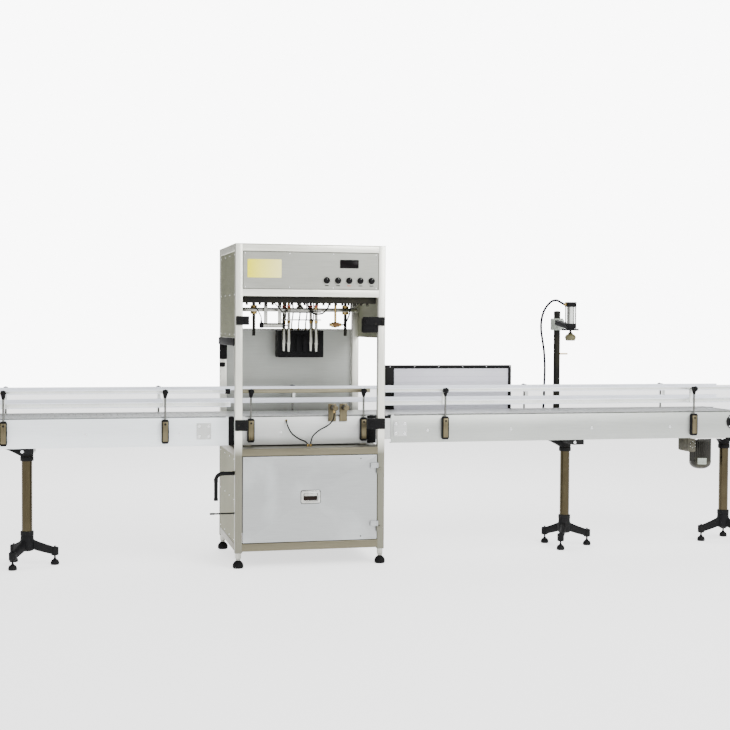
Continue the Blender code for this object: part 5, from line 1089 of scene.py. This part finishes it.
def conveyor_joins(bolts):
    """Splice plates, black strips of painted shade in the gaps between the sections, and the beads on the
    plates' top edges.
    """
    splices = Piece("splice_plates", "machine", PALE_STEEL, "pale_plate")
    gap_shadows = Piece("gap_shadow_strips", "machine", RUBBER, "rubber")
    edges = Piece("plate_edge_beads", "machine", DARK_STEEL, "dark_steel")
    for side in (-1, 1):
        for outside, inside in ((INFEED[1] - 0.060, SECTION[0] + 0.060),
                                (OUTFEED[0] + 0.060, SECTION[1] - 0.060)):
            splices.add(bar((outside, side * (PLATE_Y - 0.0070), 0.690),
                            (inside, side * (PLATE_Y - PLATE), 0.810), "X", 0.001, 0.0006))
        for middle in (INFEED[1] - 0.140, OUTFEED[0] + 0.055):
            splices.add(bar((middle - 0.040, side * PLATE_Y, 0.705),
                            (middle + 0.040, side * (PLATE_Y + 0.003), 0.795), "X", 0.001, 0.0008))
            for dx in (-0.026, 0.026):
                for z in (0.722, 0.778):
                    bolts.add_all(hex_head((middle + dx, side * (PLATE_Y + 0.003), z), side * Y, 0.0046))
        # Black strips in the gaps between sections, behind the plates and over their ends: painted shade.
        for start, end in ((INFEED[1], LEFT - 0.001), (RIGHT + 0.001, OUTFEED[0])):
            gap_shadows.add(bar((start, side * (PLATE_Y - 0.009), 0.694), (end, side * (PLATE_Y - 0.0071), 0.822),
                         "X", 0.001, 0.0005))
        for start, end in ((INFEED[1] - 0.003, LEFT + 0.012), (SECTION[1] - 0.014, INNER_RIGHT + 0.022)):
            gap_shadows.add(bar((start, side * (PLATE_Y - 0.0008), SIDE_LOW + 0.002),
                         (end, side * (PLATE_Y + 0.0026), SIDE_TOP - 0.002), "Z", 0.0012, 0.0006))
        for start, end in (INFEED, SECTION, OUTFEED):
            edges.add(bar((start + 0.018, side * (PLATE_Y - 0.0005), SIDE_TOP - 0.0042),
                          (end - 0.018, side * (PLATE_Y + 0.0010), SIDE_TOP - 0.0008), "X", 0.0006, 0.0004))
    splices.build()
    gap_shadows.build()
    edges.build()


def post_socket(bolts):
    """Cast socket that holds the press post on the back side plate."""
    socket = Piece("post_socket", "machine", BLACK_CAST, "black_paint")
    post_x, post_y = node_middle("press_post")[:2]
    socket.add(bar((post_x - 0.038, PLATE_Y - 0.001, SIDE_LOW + 0.018),
                   (post_x + 0.038, post_y + 0.029, span("press_post")[0][2] - GAP), "Z", 0.010, 0.003))
    socket.build()
    for x in (post_x - 0.025, post_x + 0.025):
        bolts.add_all(hex_head((x, post_y + 0.0285, SIDE_LOW + 0.065), Y, 0.0052))


def shaft_bearings():
    """Flanged bearing with four bolts at both ends of each shaft."""
    bearings = Piece("shaft_bearings", "machine", BLACK_CAST, "black_paint")
    bearing_bolts = Piece("bearing_bolts", "machine", CHROME, "chrome")
    bolt_circle = 0.037
    for node in ("drive_shaft", "idler_shaft"):
        x = node_middle(node)[0]
        for side in (-1, 1):
            profile = [(0.0170, 0.0), (0.046, 0.0), (0.046, 0.006), (0.030, 0.0085), (0.028, 0.0150),
                       (0.0170, 0.0155)]
            rings = turned(profile, (x, side * PLATE_Y, SHAFT_Z), side * Y, 36)
            bearings.add(rings, closed=True)
            for turn in np.radians((45, 135, 225, 315)):
                spot = (x + bolt_circle * math.cos(turn), side * (PLATE_Y + 0.006),
                        SHAFT_Z + bolt_circle * math.sin(turn))
                bearing_bolts.add_all(hex_head(spot, side * Y, 0.0036))
    bearings.build()
    bearing_bolts.build()


def conveyor():
    """The whole frame of the conveyor; its parts share two pieces of bolts."""
    bolts = Piece("conveyor_bolts", "machine", CHROME, "chrome")
    holder_bolts = Piece("holder_bolts", "machine", DARK_STEEL, "dark_steel")
    conveyor_sections(bolts, holder_bolts)
    conveyor_joins(bolts)
    post_socket(bolts)
    bolts.build()
    holder_bolts.build()
    shaft_bearings()


def slat_belt():
    """Slats hinged in a loop: each slat's section is set out at its own place along the loop.

    Distance s along the loop gives a point on the top run, round the drive drum, on the lower run or
    round the idler; the section's along and out directions turn with it.
    """
    start, end = node_middle("idler_shaft")[0], node_middle("drive_shaft")[0]
    straight, outer = end - start, BELT_HIGH[2] - SHAFT_Z
    neutral = outer - 0.004
    total = 2 * straight + 2 * np.pi * neutral
    count = int(round(total / SLAT_PITCH))
    pitch = total / count
    s = np.arange(count) * pitch
    top = s < straight
    bend = (s >= straight) & (s < straight + np.pi * neutral)
    lower = (s >= straight + np.pi * neutral) & (s < 2 * straight + np.pi * neutral)
    angle = np.where(top, 0.0,
                     np.where(bend, (s - straight) / neutral,
                              np.where(lower, np.pi,
                                       np.pi + (s - 2 * straight - np.pi * neutral) / neutral)))
    out = np.stack([np.sin(angle), np.cos(angle)], axis=1)
    ahead = np.stack([np.cos(angle), -np.sin(angle)], axis=1)
    anchor_x = np.where(top, start + s,
                        np.where(bend, end, np.where(lower, end - (s - straight - np.pi * neutral), start)))
    centre = np.stack([anchor_x, np.full(count, SHAFT_Z)], axis=1) + neutral * out
    half = (pitch - SLAT_GAP) / 2
    section = np.array([(-half, 0.0), (-half, 0.0032), (-half + 0.0008, 0.004), (half - 0.0008, 0.004),
                        (half, 0.0032), (half, 0.0008), (half - 0.0050, 0.0004), (half - 0.0060, -0.0060),
                        (half - 0.0110, -0.0072), (half - 0.0150, -0.0050), (half - 0.0155, 0.0)])
    flat = (centre[:, None] + section[:, 0, None] * ahead[:, None] + section[:, 1, None] * out[:, None])
    slats = Piece("belt_slats", "machine", SLAT_STEEL, "pale_plate")
    width = BELT_HIGH[1]
    for outline in flat:
        rings = np.empty((2, len(section), 3))
        rings[:, :, 0] = outline[:, 0]
        rings[:, :, 2] = outline[:, 1]
        rings[0, :, 1] = -width
        rings[1, :, 1] = width
        slats.add(rings)
    slats.build("conveyor_belt")
    runners = Piece("belt_wear_strips", "machine", WHITE_STRIP, "white_plastic")
    for y in (-0.150, -0.010, 0.130):
        for z in (BELT_HIGH[2] - 0.0145, BELT_LOW[2] + 0.0145):
            lift = -0.012 if z > SHAFT_Z else 0.006
            runners.add(bar((start + 0.08, y, z + lift), (end - 0.08, y + 0.020, z + lift + 0.006), "X",
                            0.001, 0.0006))
    runners.build()

    for node, x in (("drive_shaft", end), ("idler_shaft", start)):
        low, high = span(node)
        shaft = Piece(f"{node}_turned", node, CHROME, "stainless")
        length = high[1] - low[1]
        shaft.add(turned(fillet([(0.0135, 0.0), (0.015, 0.0015), (0.015, length - 0.0015),
                                 (0.0135, length)], 0.0005), (x, low[1], SHAFT_Z), Y, 36))
        shaft.add(bar((x - 0.003, low[1] + 0.0002, SHAFT_Z + 0.0120),
                      (x + 0.003, low[1] + 0.012, SHAFT_Z + 0.0162), "Y", 0.0008, 0.0004))
        shaft.build(node)
        wheels = Piece(f"{node}_sprockets", node, BLACK_MOULDED, "black_plastic")
        for y in (-0.130, 0.0, 0.130):
            profile = fillet([(0.0160, -0.016), (0.030, -0.016), (0.030, -0.009), (0.0545, -0.007),
                              (0.0545, 0.007), (0.030, 0.009), (0.030, 0.016), (0.0160, 0.016)], 0.001)
            wheels.add(turned(profile, (x, y, SHAFT_Z), Y, 72, 12, 0.018))
        wheels.build()


def legs():
    """Round posts with collars, cast saddles with a tapered gusset, and bases with three arms."""
    posts = Piece("leg_tubes", "machine", LEG_STEEL, "stainless")
    saddles = Piece("leg_saddles", "machine", BLACK_CAST, "black_paint")
    screws = Piece("leg_screws", "machine", CHROME, "chrome")
    knobs = Piece("leg_clamp_knobs", "machine", WHITE_ENAMEL, "white_plastic")
    top = SIDE_LOW - GAP
    for number, (x, turn) in enumerate(zip(LEGS, LEG_TURNS), start=1):
        posts.add(rod((x, 0, HUB_TOP - 0.010), (x, 0, top - 0.020), LEG_RADIUS, 40, 0.001))
        for z in (HUB_TOP, top - 0.085):
            saddles.add(turned(fillet([(0.0292, 0.0), (0.0365, 0.0), (0.0365, 0.024), (0.0292, 0.026)],
                                      0.002), (x, 0, z), Z, 36))
        reach = x - span(f"leg_post_{number}")[0][0]
        saddles.add(bar((x - 0.037, -PLATE_Y + PLATE, top - 0.029), (x + 0.037, PLATE_Y - PLATE, top), "Y",
                        0.004, 0.002))
        saddles.add(rod((x, 0, top - 0.058), (x, 0, top - 0.003), 0.036, 36, 0.002))
        depth = np.linspace(0.0, 1.0, 12)
        path = np.stack([x - 0.020 - (reach - 0.020) * depth, np.zeros(12), np.full(12, top - 0.003)],
                        axis=1)
        rise = 0.052 * (1 - depth) ** 1.3 + 0.010
        rings = np.empty((12, 16, 3))
        for ring, place, tall in zip(rings, path, rise):
            outline = rounded_rectangle(0.050, tall, 0.003)
            ring[:, 0] = place[0]
            ring[:, 1] = outline[:, 0]
            ring[:, 2] = place[2] - tall / 2 + outline[:, 1]
        saddles.add(rings)
        knobs.add(turned(fillet([(0.010, 0.0), (0.012, 0.003), (0.012, 0.012), (0.006, 0.014)], 0.002),
                         (x + 0.036, -0.150, top - 0.015), X, 24, 8, 0.06))
        for side in (-1, 1):
            screws.add_all(hex_head((x - 0.022, side * (PLATE_Y - PLATE), top - 0.015), side * Y, 0.0050))

        cast = Piece(f"tripod_base_{number}", "machine", BLACK_CAST, "black_paint")
        cast.add(turned(fillet([(0.026, 0.082), (0.037, 0.086), (0.040, 0.100), (0.040, 0.130),
                                (0.036, 0.150), (0.035, HUB_TOP), (0.030, HUB_TOP)], 0.006), (x, 0, 0), Z,
                        40))
        for arm in range(3):
            angle = turn + arm * 2 * math.pi / 3
            outward = np.array([math.cos(angle), math.sin(angle), 0.0])
            t = np.linspace(0.0, 1.0, 18)
            away = ARM_START + (ARM_REACH - ARM_START) * t
            height = ARM_ROOT_Z - ARM_DROP * t ** 0.8
            path = np.array([x, 0.0, 0.0]) + away[:, None] * outward + height[:, None] * Z
            size = 1.0 - 0.20 * t
            arm_section = rounded_rectangle(0.034, 0.052, 0.010)
            cast.add(swept(path, arm_section, Z, size))
            foot = np.array([x, 0.0, 0.0]) + ARM_REACH * outward
            cast.add(turned(fillet([(0.014, 0.052), (0.0205, 0.055), (0.0205, 0.096), (0.016, 0.0985)],
                                   0.002), foot, Z, 28))
            cast.add(turned(fillet([(0.0215, 0.0), (0.024, 0.004), (0.024, 0.014), (0.018, 0.026),
                                    (0.010, 0.030)], 0.004), foot, Z, 32))
            cast.add(turned([(0.0080, 0.028), (0.0092, 0.0290), (0.0092, 0.0350), (0.0080, 0.0360)], foot,
                            Z, 6))
            cast.add(turned(thread(0.014, 0.1060, 0.0052, 0.0005, 74), foot, Z, 14))
        cast.build(f"leg_base_{number}")
    posts.build("leg_post_1", "leg_post_2", "leg_post_3")
    saddles.build()
    screws.build()
    knobs.build()


def gearmotor():
    """Ribbed gearbox on a white plate and an upright motor with fins, a domed end and a curved blank plate.
    """
    low, high = span("gearbox")
    motor_low, motor_high = span("motor")
    plate = Piece("motor_plate", "machine", WHITE_ENAMEL, "white_plastic")
    plate.add(bar((low[0], low[1], high[2] - 0.008), (high[0], high[1], high[2]), "X", 0.002, 0.001))
    plate.build()
    gear = Piece("gear_casing", "machine", MACHINE_PAINT, "grey_paint")
    left, right, bottom = low[0] + 0.016, low[0] + 0.066, low[2]
    gear.add(bar((left + 0.004, -0.070, bottom + 0.003), (right - 0.002, 0.070, high[2] - 0.006), "Y",
                 0.010, 0.004))
    for y in np.linspace(-0.064, 0.064, 9):
        gear.add(bar((left, y - 0.0024, bottom), (right, y + 0.0024, high[2] - 0.010), "Y", 0.012, 0.0012))
    middle = (left + right) / 2
    z = (bottom + high[2] - 0.008) / 2
    gear.add(turned(fillet([(0.0205, 0.0), (0.0205, 0.006), (0.0165, 0.010), (0.0150, 0.016),
                            (0.011, 0.017)], 0.002), (middle, -0.070, z), -Y, 36))
    gear.build("gearbox")
    bolts = Piece("gear_bolts", "machine", CHROME, "chrome")
    for turn in np.radians(np.arange(30, 390, 60)):
        bolts.add_all(hex_head((middle + 0.0178 * math.cos(turn), -0.0765, z + 0.0178 * math.sin(turn)), -Y,
                               0.0022, False))
    for x in (low[0] + 0.012, high[0] - 0.014):
        for y in (low[1] + 0.014, high[1] - 0.014):
            bolts.add_all(hex_head((x, y, high[2] - 0.008), -Z, 0.0052))
    bolts.build()

    x = (motor_low[0] + motor_high[0]) / 2
    radius, tall = (motor_high[0] - motor_low[0]) / 2, motor_high[2] - motor_low[2]
    motor = Piece("motor_body", "machine", MOTOR_PAINT, "grey_paint")
    fins = [(radius * 0.955, 0.044), (radius * 0.955, tall - 0.026)]
    motor.add(turned(fins, (x, 0, motor_low[2]), Z, 160, 32, 0.044))
    motor.add(turned(fillet([(radius * 0.90, tall - 0.030), (radius, tall - 0.027), (radius, tall - 0.008),
                             (radius * 0.90, tall)], 0.003), (x, 0, motor_low[2]), Z, 48))
    t = np.linspace(0.06, 1.0, 14)
    dome = np.stack([radius * np.sin(t * np.pi / 2) ** 0.75, 0.044 * (1 - np.cos(t * np.pi / 2))], axis=1)
    motor.add(turned(np.concatenate([dome, [(radius, 0.050)]]), (x, 0, motor_low[2]), Z, 48))
    motor.build("motor")
    label = Piece("motor_blank_plate", "machine", CLAMP_PAINT, "white_plastic")
    turn = np.linspace(-0.42, 0.42, 12) - np.pi / 2 - 0.28
    wall = np.stack([np.cos(turn), np.sin(turn)], axis=1)
    rings = np.empty((12, 4, 3))
    for column, (reach, height) in enumerate(((0.975, 0.033), (1.0, 0.033), (1.0, 0.072), (0.975, 0.072))):
        rings[:, column, 0] = x + radius * reach * wall[:, 0]
        rings[:, column, 1] = radius * reach * wall[:, 1]
        rings[:, column, 2] = motor_low[2] + height
    label.add(rings)
    label.build()


# ---------------------------------------------------------------- guide rails
def rail(node, side, brackets, rails, material, slot):
    """Rails with their clamps, cross rods, upright rods and top knobs, all on the rail's body.

    rails gives each rail's bottom and height.
    """
    low, high = span(node)
    strips = Piece(f"{node}_strips", node, material, slot)
    middle = side * RAIL_Y
    for bottom, tall in rails:
        strips.add(bar((low[0], middle - 0.006, bottom), (high[0], middle + 0.006, bottom + tall), "X",
                       0.0035, 0.002))
    strips.build(node)
    backing = Piece(f"{node}_backing", node, ALUMINIUM if material is WHITE_STRIP else material,
                    "stainless")
    for bottom, tall in rails:
        inner, outer = side * (RAIL_Y + 0.0055), side * (RAIL_Y + 0.0080)
        backing.add(bar((low[0] + 0.004, inner, bottom + 0.005),
                        (high[0] - 0.004, outer, bottom + tall - 0.005), "X", 0.0008, 0.0006))
    rods = Piece(f"{node}_rods", node, ROD_STEEL, "chrome")
    clamps = Piece(f"{node}_clamps", node, BLACK_MOULDED, "black_plastic")
    bottom = min(level for level, tall in rails)
    top = max(level + tall for level, tall in rails)
    clamp_z = top - 0.0115
    for x in brackets:
        y = side * HOLDER_Y
        backing.add(bar((x - 0.0085, side * (RAIL_Y + 0.0060), bottom + 0.003),
                        (x + 0.0085, side * (RAIL_Y + 0.0120), top - 0.003), "Z", 0.0010, 0.0008))
        rods.add(rod((x, side * (RAIL_Y + 0.010), clamp_z), (x, side * (HOLDER_Y + 0.018), clamp_z),
                     RAIL_ROD_RADIUS, 20))
        rods.add(rod((x, y, HOLDER_LOW + 0.042), (x, y, clamp_z - 0.004), RAIL_ROD_RADIUS, 20))
        clamps.add(bar((x - 0.013, y - 0.011, clamp_z - 0.013), (x + 0.013, y + 0.011, clamp_z + 0.0125),
                       "Z", 0.004, 0.002))
        clamps.add(turned(fillet([(0.0065, -0.034), (0.0085, -0.030), (0.0125, -0.014)], 0.004),
                          (x, y, clamp_z), Z, 28))
        clamps.add(turned(fillet([(0.012, 0.0), (0.0155, 0.002), (0.0155, 0.011), (0.011, 0.0150),
                                  (0.003, 0.0155)], 0.002), (x, side * (HOLDER_Y + 0.0105), clamp_z),
                          side * Y, 32, 8, 0.06))
    if node == "infeed_guide_rail":
        clamps.add(bar((high[0] - 0.030, middle - 0.0085, top - 0.026),
                       (high[0] - 0.001, middle + 0.0085, top + 0.002), "X", 0.004, 0.002))
    rods.build()
    clamps.build()
    backing.build()


def guide_rails():
    """Front rails outside the cabinet, the bar in the chamber, and the long back rails."""
    rail("infeed_guide_rail", -1, FRONT_BRACKETS["infeed_guide_rail"], RAIL_LEVELS, WHITE_STRIP,
         "white_plastic")
    rail("outfeed_guide_rail", -1, FRONT_BRACKETS["outfeed_guide_rail"], RAIL_LEVELS, WHITE_STRIP,
         "white_plastic")
    rail("chamber_guide_bar", -1, FRONT_BRACKETS["chamber_guide_bar"], RAIL_LEVELS[:1], BAR_STEEL,
         "stainless")
    rail("back_guide_rail", 1, BACK_BRACKETS, RAIL_LEVELS, WHITE_STRIP, "white_plastic")


# ---------------------------------------------------------------- outfeed stations
def light_box():
    """Flat box with a folded black frame, a ribbed diffuser and two hangers."""
    low, high = span("light_box")
    bottom = PANEL_BOX_BOTTOM
    front = PLATE_Y + 0.030
    back = front + PANEL_BOX_DEPTH
    left, right, top = low[0], high[0], high[2]
    case = Piece("light_box_frame", "machine", BLACK_CAST, "black_paint")
    for corner_low, corner_high in (((left, front, bottom), (left + 0.052, back, top)),
                                    ((right - 0.020, front, bottom), (right, back, top))):
        case.add(bar(corner_low, corner_high, "Z", 0.003, 0.0015))
    for z_low, z_high in ((bottom, bottom + 0.020), (top - 0.020, top)):
        case.add(bar((left + 0.002, front + 0.0006, z_low), (right - 0.002, back - 0.0006, z_high), "X",
                     0.003, 0.0015))
    case.add(bar((left + 0.004, front + 0.012, bottom + 0.004), (right - 0.004, back - 0.002, top - 0.004),
                 "X", 0.002, 0.001))
    for x in (left + (right - left) / 5, right - (right - left) / 5):
        case.add(bar((x - 0.0175, PLATE_Y + GAP, SIDE_LOW + 0.035),
                     (x + 0.0175, front + 0.025, bottom - 0.0175), "Y", 0.003, 0.0015))
        case.add(bar((x - 0.0117, front + 0.003, bottom - 0.036),
                     (x + 0.0117, front + 0.022, bottom + 0.004), "Z", 0.002, 0.001))
    case.build("light_box")
    panel = Piece("light_panel", "machine", DIFFUSER, "white_plastic")
    panel.add(bar((left + 0.0515, front + 0.006, bottom + 0.0195),
                  (right - 0.0195, front + 0.0125, top - 0.0195), "X", 0.0015, 0.001))
    panel.build()
    screws = Piece("light_box_screws", "machine", CHROME, "chrome")
    for x in np.linspace(left + 0.026, right - 0.010, 6):
        for z in (bottom + 0.010, top - 0.010):
            screws.add_all(pan_head((x, front + 0.0004, z), -Y, 0.0028))
    screws.build()


def press_post():
    """Black tube with a turned cap and a short rod at its side."""
    low, high = span("press_post")
    post_x, post_y = node_middle("press_post")[:2]
    post = Piece("post_tube", "machine", DARK_STEEL, "black_paint")
    post.add(rod((post_x, post_y, low[2]), (post_x, post_y, high[2] - 0.010), 0.0205, 40, 0.001))
    post.add(turned(fillet([(0.0195, 0.0), (0.021, 0.001), (0.021, 0.018), (0.017, 0.022), (0.006, 0.024)],
                           0.003), (post_x, post_y, high[2] - 0.024), Z, 40))
    post.build("press_post")
    side_rod = Piece("post_side_rod", "machine", BRASS, "chrome")
    side_rod.add(rod((post_x + 0.018, post_y, 1.170), (post_x + 0.072, post_y, 1.170), 0.005, 16))
    side_rod.build()


def press_head():
    """Ring clamp and arm on the post, and the cylinder with its caps and tie rods."""
    post_x, post_y = node_middle("press_post")[:2]
    clamp = Piece("post_clamp", "machine", CLAMP_PAINT, "grey_paint")
    z_low, z_high = span("press_arm")[0][2], span("press_arm")[1][2]
    profile = [(0.0216, 0.0), (0.036, 0.0), (0.040, 0.004), (0.040, z_high - z_low - 0.004),
               (0.036, z_high - z_low), (0.0216, z_high - z_low)]
    clamp.add(turned(profile, (post_x, post_y, z_low), Z, 48), closed=True)
    clamp.add(bar((post_x - 0.017, post_y - 0.080, z_low + 0.008),
                  (post_x + 0.017, post_y - 0.034, z_high - 0.008), "Y", 0.006, 0.003))
    clamp.build("press_arm")
    cyl_low, cyl_high = span("press_cylinder")
    cx, cy = node_middle("press_cylinder")[:2]
    arm = Piece("press_arm_bar", "machine", BLACK_CAST, "black_paint")
    arm_x = (cx + post_x) / 2
    t = np.linspace(0.0, 1.0, 14)
    path = np.stack([np.full_like(t, arm_x), post_y - 0.060 + (cy + 0.034 - post_y + 0.060) * t,
                     z_high - 0.026 - (z_high - z_low - 0.044) * t], axis=1)
    arm.add(swept(path, rounded_rectangle(0.032, 0.032, 0.005), Z))
    arm.add(bar((cx - 0.0315, cy - 0.0315, z_low), (arm_x + 0.021, cy + 0.063, cyl_low[2] - GAP), "Z",
                0.006, 0.002))
    arm.build()
    bolts = Piece("press_bolts", "machine", CHROME, "chrome")
    for z in (z_low + 0.018, z_high - 0.018):
        bolts.add_all(hex_head((post_x + 0.0395, post_y, z), X, 0.0048))

    caps = Piece("cylinder_caps", "machine", BLACK_MOULDED, "black_plastic")
    half = (cyl_high[0] - cyl_low[0]) / 2
    for bottom, top in ((cyl_low[2], cyl_low[2] + 0.030), (cyl_high[2] - 0.030, cyl_high[2])):
        caps.add(bar((cx - half, cy - half, bottom), (cx + half, cy + half, top), "Z", 0.007, 0.002))
    caps.build("press_cylinder")
    barrel = Piece("cylinder_barrel", "machine", ALUMINIUM, "stainless")
    barrel.add(rod((cx, cy, cyl_low[2] + 0.028), (cx, cy, cyl_high[2] - 0.028), 0.0230, 48, 0.001))
    ties = Piece("cylinder_tie_rods", "machine", ROD_STEEL, "stainless")
    corner = half - 0.006
    for dx in (-corner, corner):
        for dy in (-corner, corner):
            ties.add(rod((cx + dx, cy + dy, cyl_low[2] + 0.028), (cx + dx, cy + dy, cyl_high[2] - 0.028),
                         0.0040, 14))
            bolts.add_all(hex_head((cx + dx, cy + dy, cyl_high[2] - 0.0035), Z, 0.0036, False))
    barrel.build()
    ties.build()
    bolts.build()


def press_plunger():
    """Rod with its nut and the soft cone that meets the caps."""
    cx, cy = node_middle("press_cylinder")[:2]
    low, high = span("press_rod")
    stem = Piece("press_stem", "press_rod", DARK_STEEL, "dark_steel")
    stem.add(rod((cx, cy, STEM_BOTTOM), (cx, cy, high[2]), 0.0078, 28))
    stem.add(turned([(0.012, 0.0), (0.0140, 0.001), (0.0140, 0.008), (0.012, 0.009)],
                    (cx, cy, STEM_BOTTOM + 0.005), Z, 6))
    stem.build("press_rod")
    pad = Piece("press_cone", "press_rod", PAD_FACE, "rubber")
    profile = fillet([(0.020, low[2]), (0.0272, low[2] + 0.001), (0.034, low[2] + 0.021),
                      (0.0325, low[2] + 0.026), (0.024, low[2] + 0.038), (0.013, low[2] + 0.042)], 0.004)
    pad.add(turned(profile, (cx, cy, 0.0), Z, 48))
    pad.build()


def press_line():
    """Air hose from the cylinder's top port down to the side plate, with a fitting at both ends."""
    cyl_low, cyl_high = span("press_cylinder")
    cy = node_middle("press_cylinder")[1]
    hose_y = PLATE_Y + 0.013
    port = cyl_high[2] - 0.015
    start_x = cyl_low[0] - GAP
    route = [(start_x - GAP, cy, port), (start_x - 0.012, cy, port),
             (start_x - 0.030, -0.068, port + 0.012), (1.118, -0.045, 1.500), (1.092, -0.018, 1.488),
             (1.070, 0.025, 1.440), (1.068, 0.065, 1.380), (1.084, 0.110, 1.318), (1.112, 0.155, 1.250),
             (1.136, 0.190, 1.180), (1.150, 0.212, 1.080), (1.152, hose_y, 0.980), (1.150, hose_y, 0.880),
             (HOSE_PORT_X, hose_y + 0.010, 0.800), (HOSE_PORT_X, hose_y + 0.004, 0.772),
             (HOSE_PORT_X, PLATE_Y + 0.010, HOSE_PORT_Z), (HOSE_PORT_X, PLATE_Y + 0.0006, HOSE_PORT_Z)]
    line = Piece("press_line", "machine", NAVY_HOSE, "rubber")
    line.add(hose(route, 0.0068, X, 16))
    line.build("press_hose")
    fitting = Piece("press_line_fittings", "machine", BRASS, "chrome")
    fitting.add(rod((start_x + 0.002, cy, port), (start_x - 0.014, cy, port), 0.0095, 6, 0.001))
    fitting.add(rod((HOSE_PORT_X, PLATE_Y, HOSE_PORT_Z), (HOSE_PORT_X, PLATE_Y + 0.012, HOSE_PORT_Z),
                    0.0098, 6, 0.001))
    fitting.build()


# ---------------------------------------------------------------- frame nodes that stay
def paint_nodes():
    """Give the frame nodes that stay in view their finishes."""
    finishes = {"head_front_panel": SHEET_STEEL, "head_top_cover": BEAM_STEEL,
                "head_left_panel": SHADED_SIDE_STEEL, "lower_left_panel": SHADED_LOWER_SIDE_STEEL,
                "head_right_panel": SHADED_SIDE_STEEL, "lower_right_panel": SHADED_LOWER_SIDE_STEEL,
                "lower_back_panel": SHEET_STEEL, "chamber_back_panel": CHAMBER_STEEL,
                # The head's floor plate and its rods take the blackened steel: dark rods, and painted shade
                # on the plate's underside.
                "deck_plate": DECK_STEEL, "head_floor_plate": DARK_STEEL, "lift_cylinder": ALUMINIUM}
    for node, material in finishes.items():
        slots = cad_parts[node].data.materials
        slots.clear()
        slots.append(material)


# ---------------------------------------------------------------- stage, light and camera
WHITE = (1.0, 1.0, 1.0, 1.0)


def stage():
    """Pale floor, even white surroundings, and soft lights in front."""
    half = 20.0
    mesh = bpy.data.meshes.new("floor")
    mesh.from_pydata([(-half, -half, 0), (half, -half, 0), (half, half, 0), (-half, half, 0)], [],
                     [(0, 1, 2, 3)])
    floor = bpy.data.objects.new("floor", mesh)
    bpy.context.scene.collection.objects.link(floor)
    surface = finish("studio_floor", (0.80, 0.80, 0.80), (0.79, 0.79, 0.79), (0.77, 0.77, 0.77), (0.6, 0.7),
                     0.0, (2, 2, 2), 0.0, 0.4)
    glow = surface.node_tree.nodes["Principled BSDF"]
    glow.inputs["Emission Color"].default_value = WHITE
    glow.inputs["Emission Strength"].default_value = 1.5
    mesh.materials.append(surface)
    world = bpy.data.worlds.new("studio")
    bpy.context.scene.world = world
    world.use_nodes = True
    tree = world.node_tree
    nodes, links = tree.nodes, tree.links
    where = nodes.new("ShaderNodeTexCoord")
    split = nodes.new("ShaderNodeSeparateXYZ")
    links.new(where.outputs["Generated"], split.inputs["Vector"])
    total = nodes.new("ShaderNodeMath")
    facing = rescale(tree, split.outputs["Y"], (0.55, -0.95), (0.22, 1.75), "SMOOTHSTEP")
    links.new(facing, total.inputs[0])
    links.new(rescale(tree, split.outputs["Z"], (0.0, 1.0), (0.0, 0.75)), total.inputs[1])
    room = nodes["Background"]
    room.inputs["Color"].default_value = WHITE
    links.new(total.outputs["Value"], room.inputs["Strength"])
    backdrop = nodes.new("ShaderNodeBackground")
    backdrop.inputs["Color"].default_value = WHITE
    backdrop.inputs["Strength"].default_value = 9.0
    path = nodes.new("ShaderNodeLightPath")
    choose = nodes.new("ShaderNodeMixShader")
    links.new(path.outputs["Is Camera Ray"], choose.inputs["Fac"])
    links.new(room.outputs["Background"], choose.inputs[1])
    links.new(backdrop.outputs["Background"], choose.inputs[2])
    links.new(choose.outputs["Shader"], nodes["World Output"].inputs["Surface"])
    for name, place, aim, size, power in (("key", (2.6, -5.0, 4.2), (0.0, 0.0, 0.9), 3.0, 300.0),
                                          ("fill", (-4.8, -4.2, 3.0), (-0.6, 0.0, 0.8), 3.5, 40.0),
                                          ("rim", (0.5, 3.5, 4.0), (0.0, 0.0, 1.0), 3.0, 160.0)):
        light = bpy.data.lights.new(name, "AREA")
        light.energy = power
        light.size = size
        lamp = bpy.data.objects.new(name, light)
        lamp.location = place
        lamp.rotation_euler = (Vector(aim) - Vector(place)).to_track_quat("-Z", "Y").to_euler()
        bpy.context.scene.collection.objects.link(lamp)


def camera():
    """Camera in front and a little to the left, level with the chamber."""
    yaw, pitch, roll = 0.2383, 0.031, 0.0056
    look = np.array([math.sin(yaw) * math.cos(pitch), math.cos(yaw) * math.cos(pitch), -math.sin(pitch)])
    level = np.array([math.cos(yaw), -math.sin(yaw), 0.0])
    rise = np.cross(level, look)
    right = math.cos(roll) * level + math.sin(roll) * rise
    up = math.cos(roll) * rise - math.sin(roll) * level
    place = (-1.8713, -7.4678, 1.348)
    lens = bpy.data.cameras.new("view")
    lens.lens = 64.565
    lens.sensor_width = 36.0
    lens.clip_end = 60.0
    view = bpy.data.objects.new("view", lens)
    columns = np.stack([right, up, -look], axis=1)
    matrix = Matrix([[*columns[row], place[row]] for row in range(3)] + [[0.0, 0.0, 0.0, 1.0]])
    view.matrix_world = matrix
    bpy.context.scene.collection.objects.link(view)
    bpy.context.scene.camera = view


camera()
stage()
paint_nodes()
cabinet_tubes()
casing_details()
door()
controls()
post_blocks()
feet()
side_pipes()
nozzle_carriage()
nozzles()
chamber_fittings()
side_air_cylinder()
chamber_hoses()
valve_box()
bottle_stops()
conveyor()
slat_belt()
legs()
gearmotor()
guide_rails()
light_box()
press_post()
press_head()
press_plunger()
press_line()
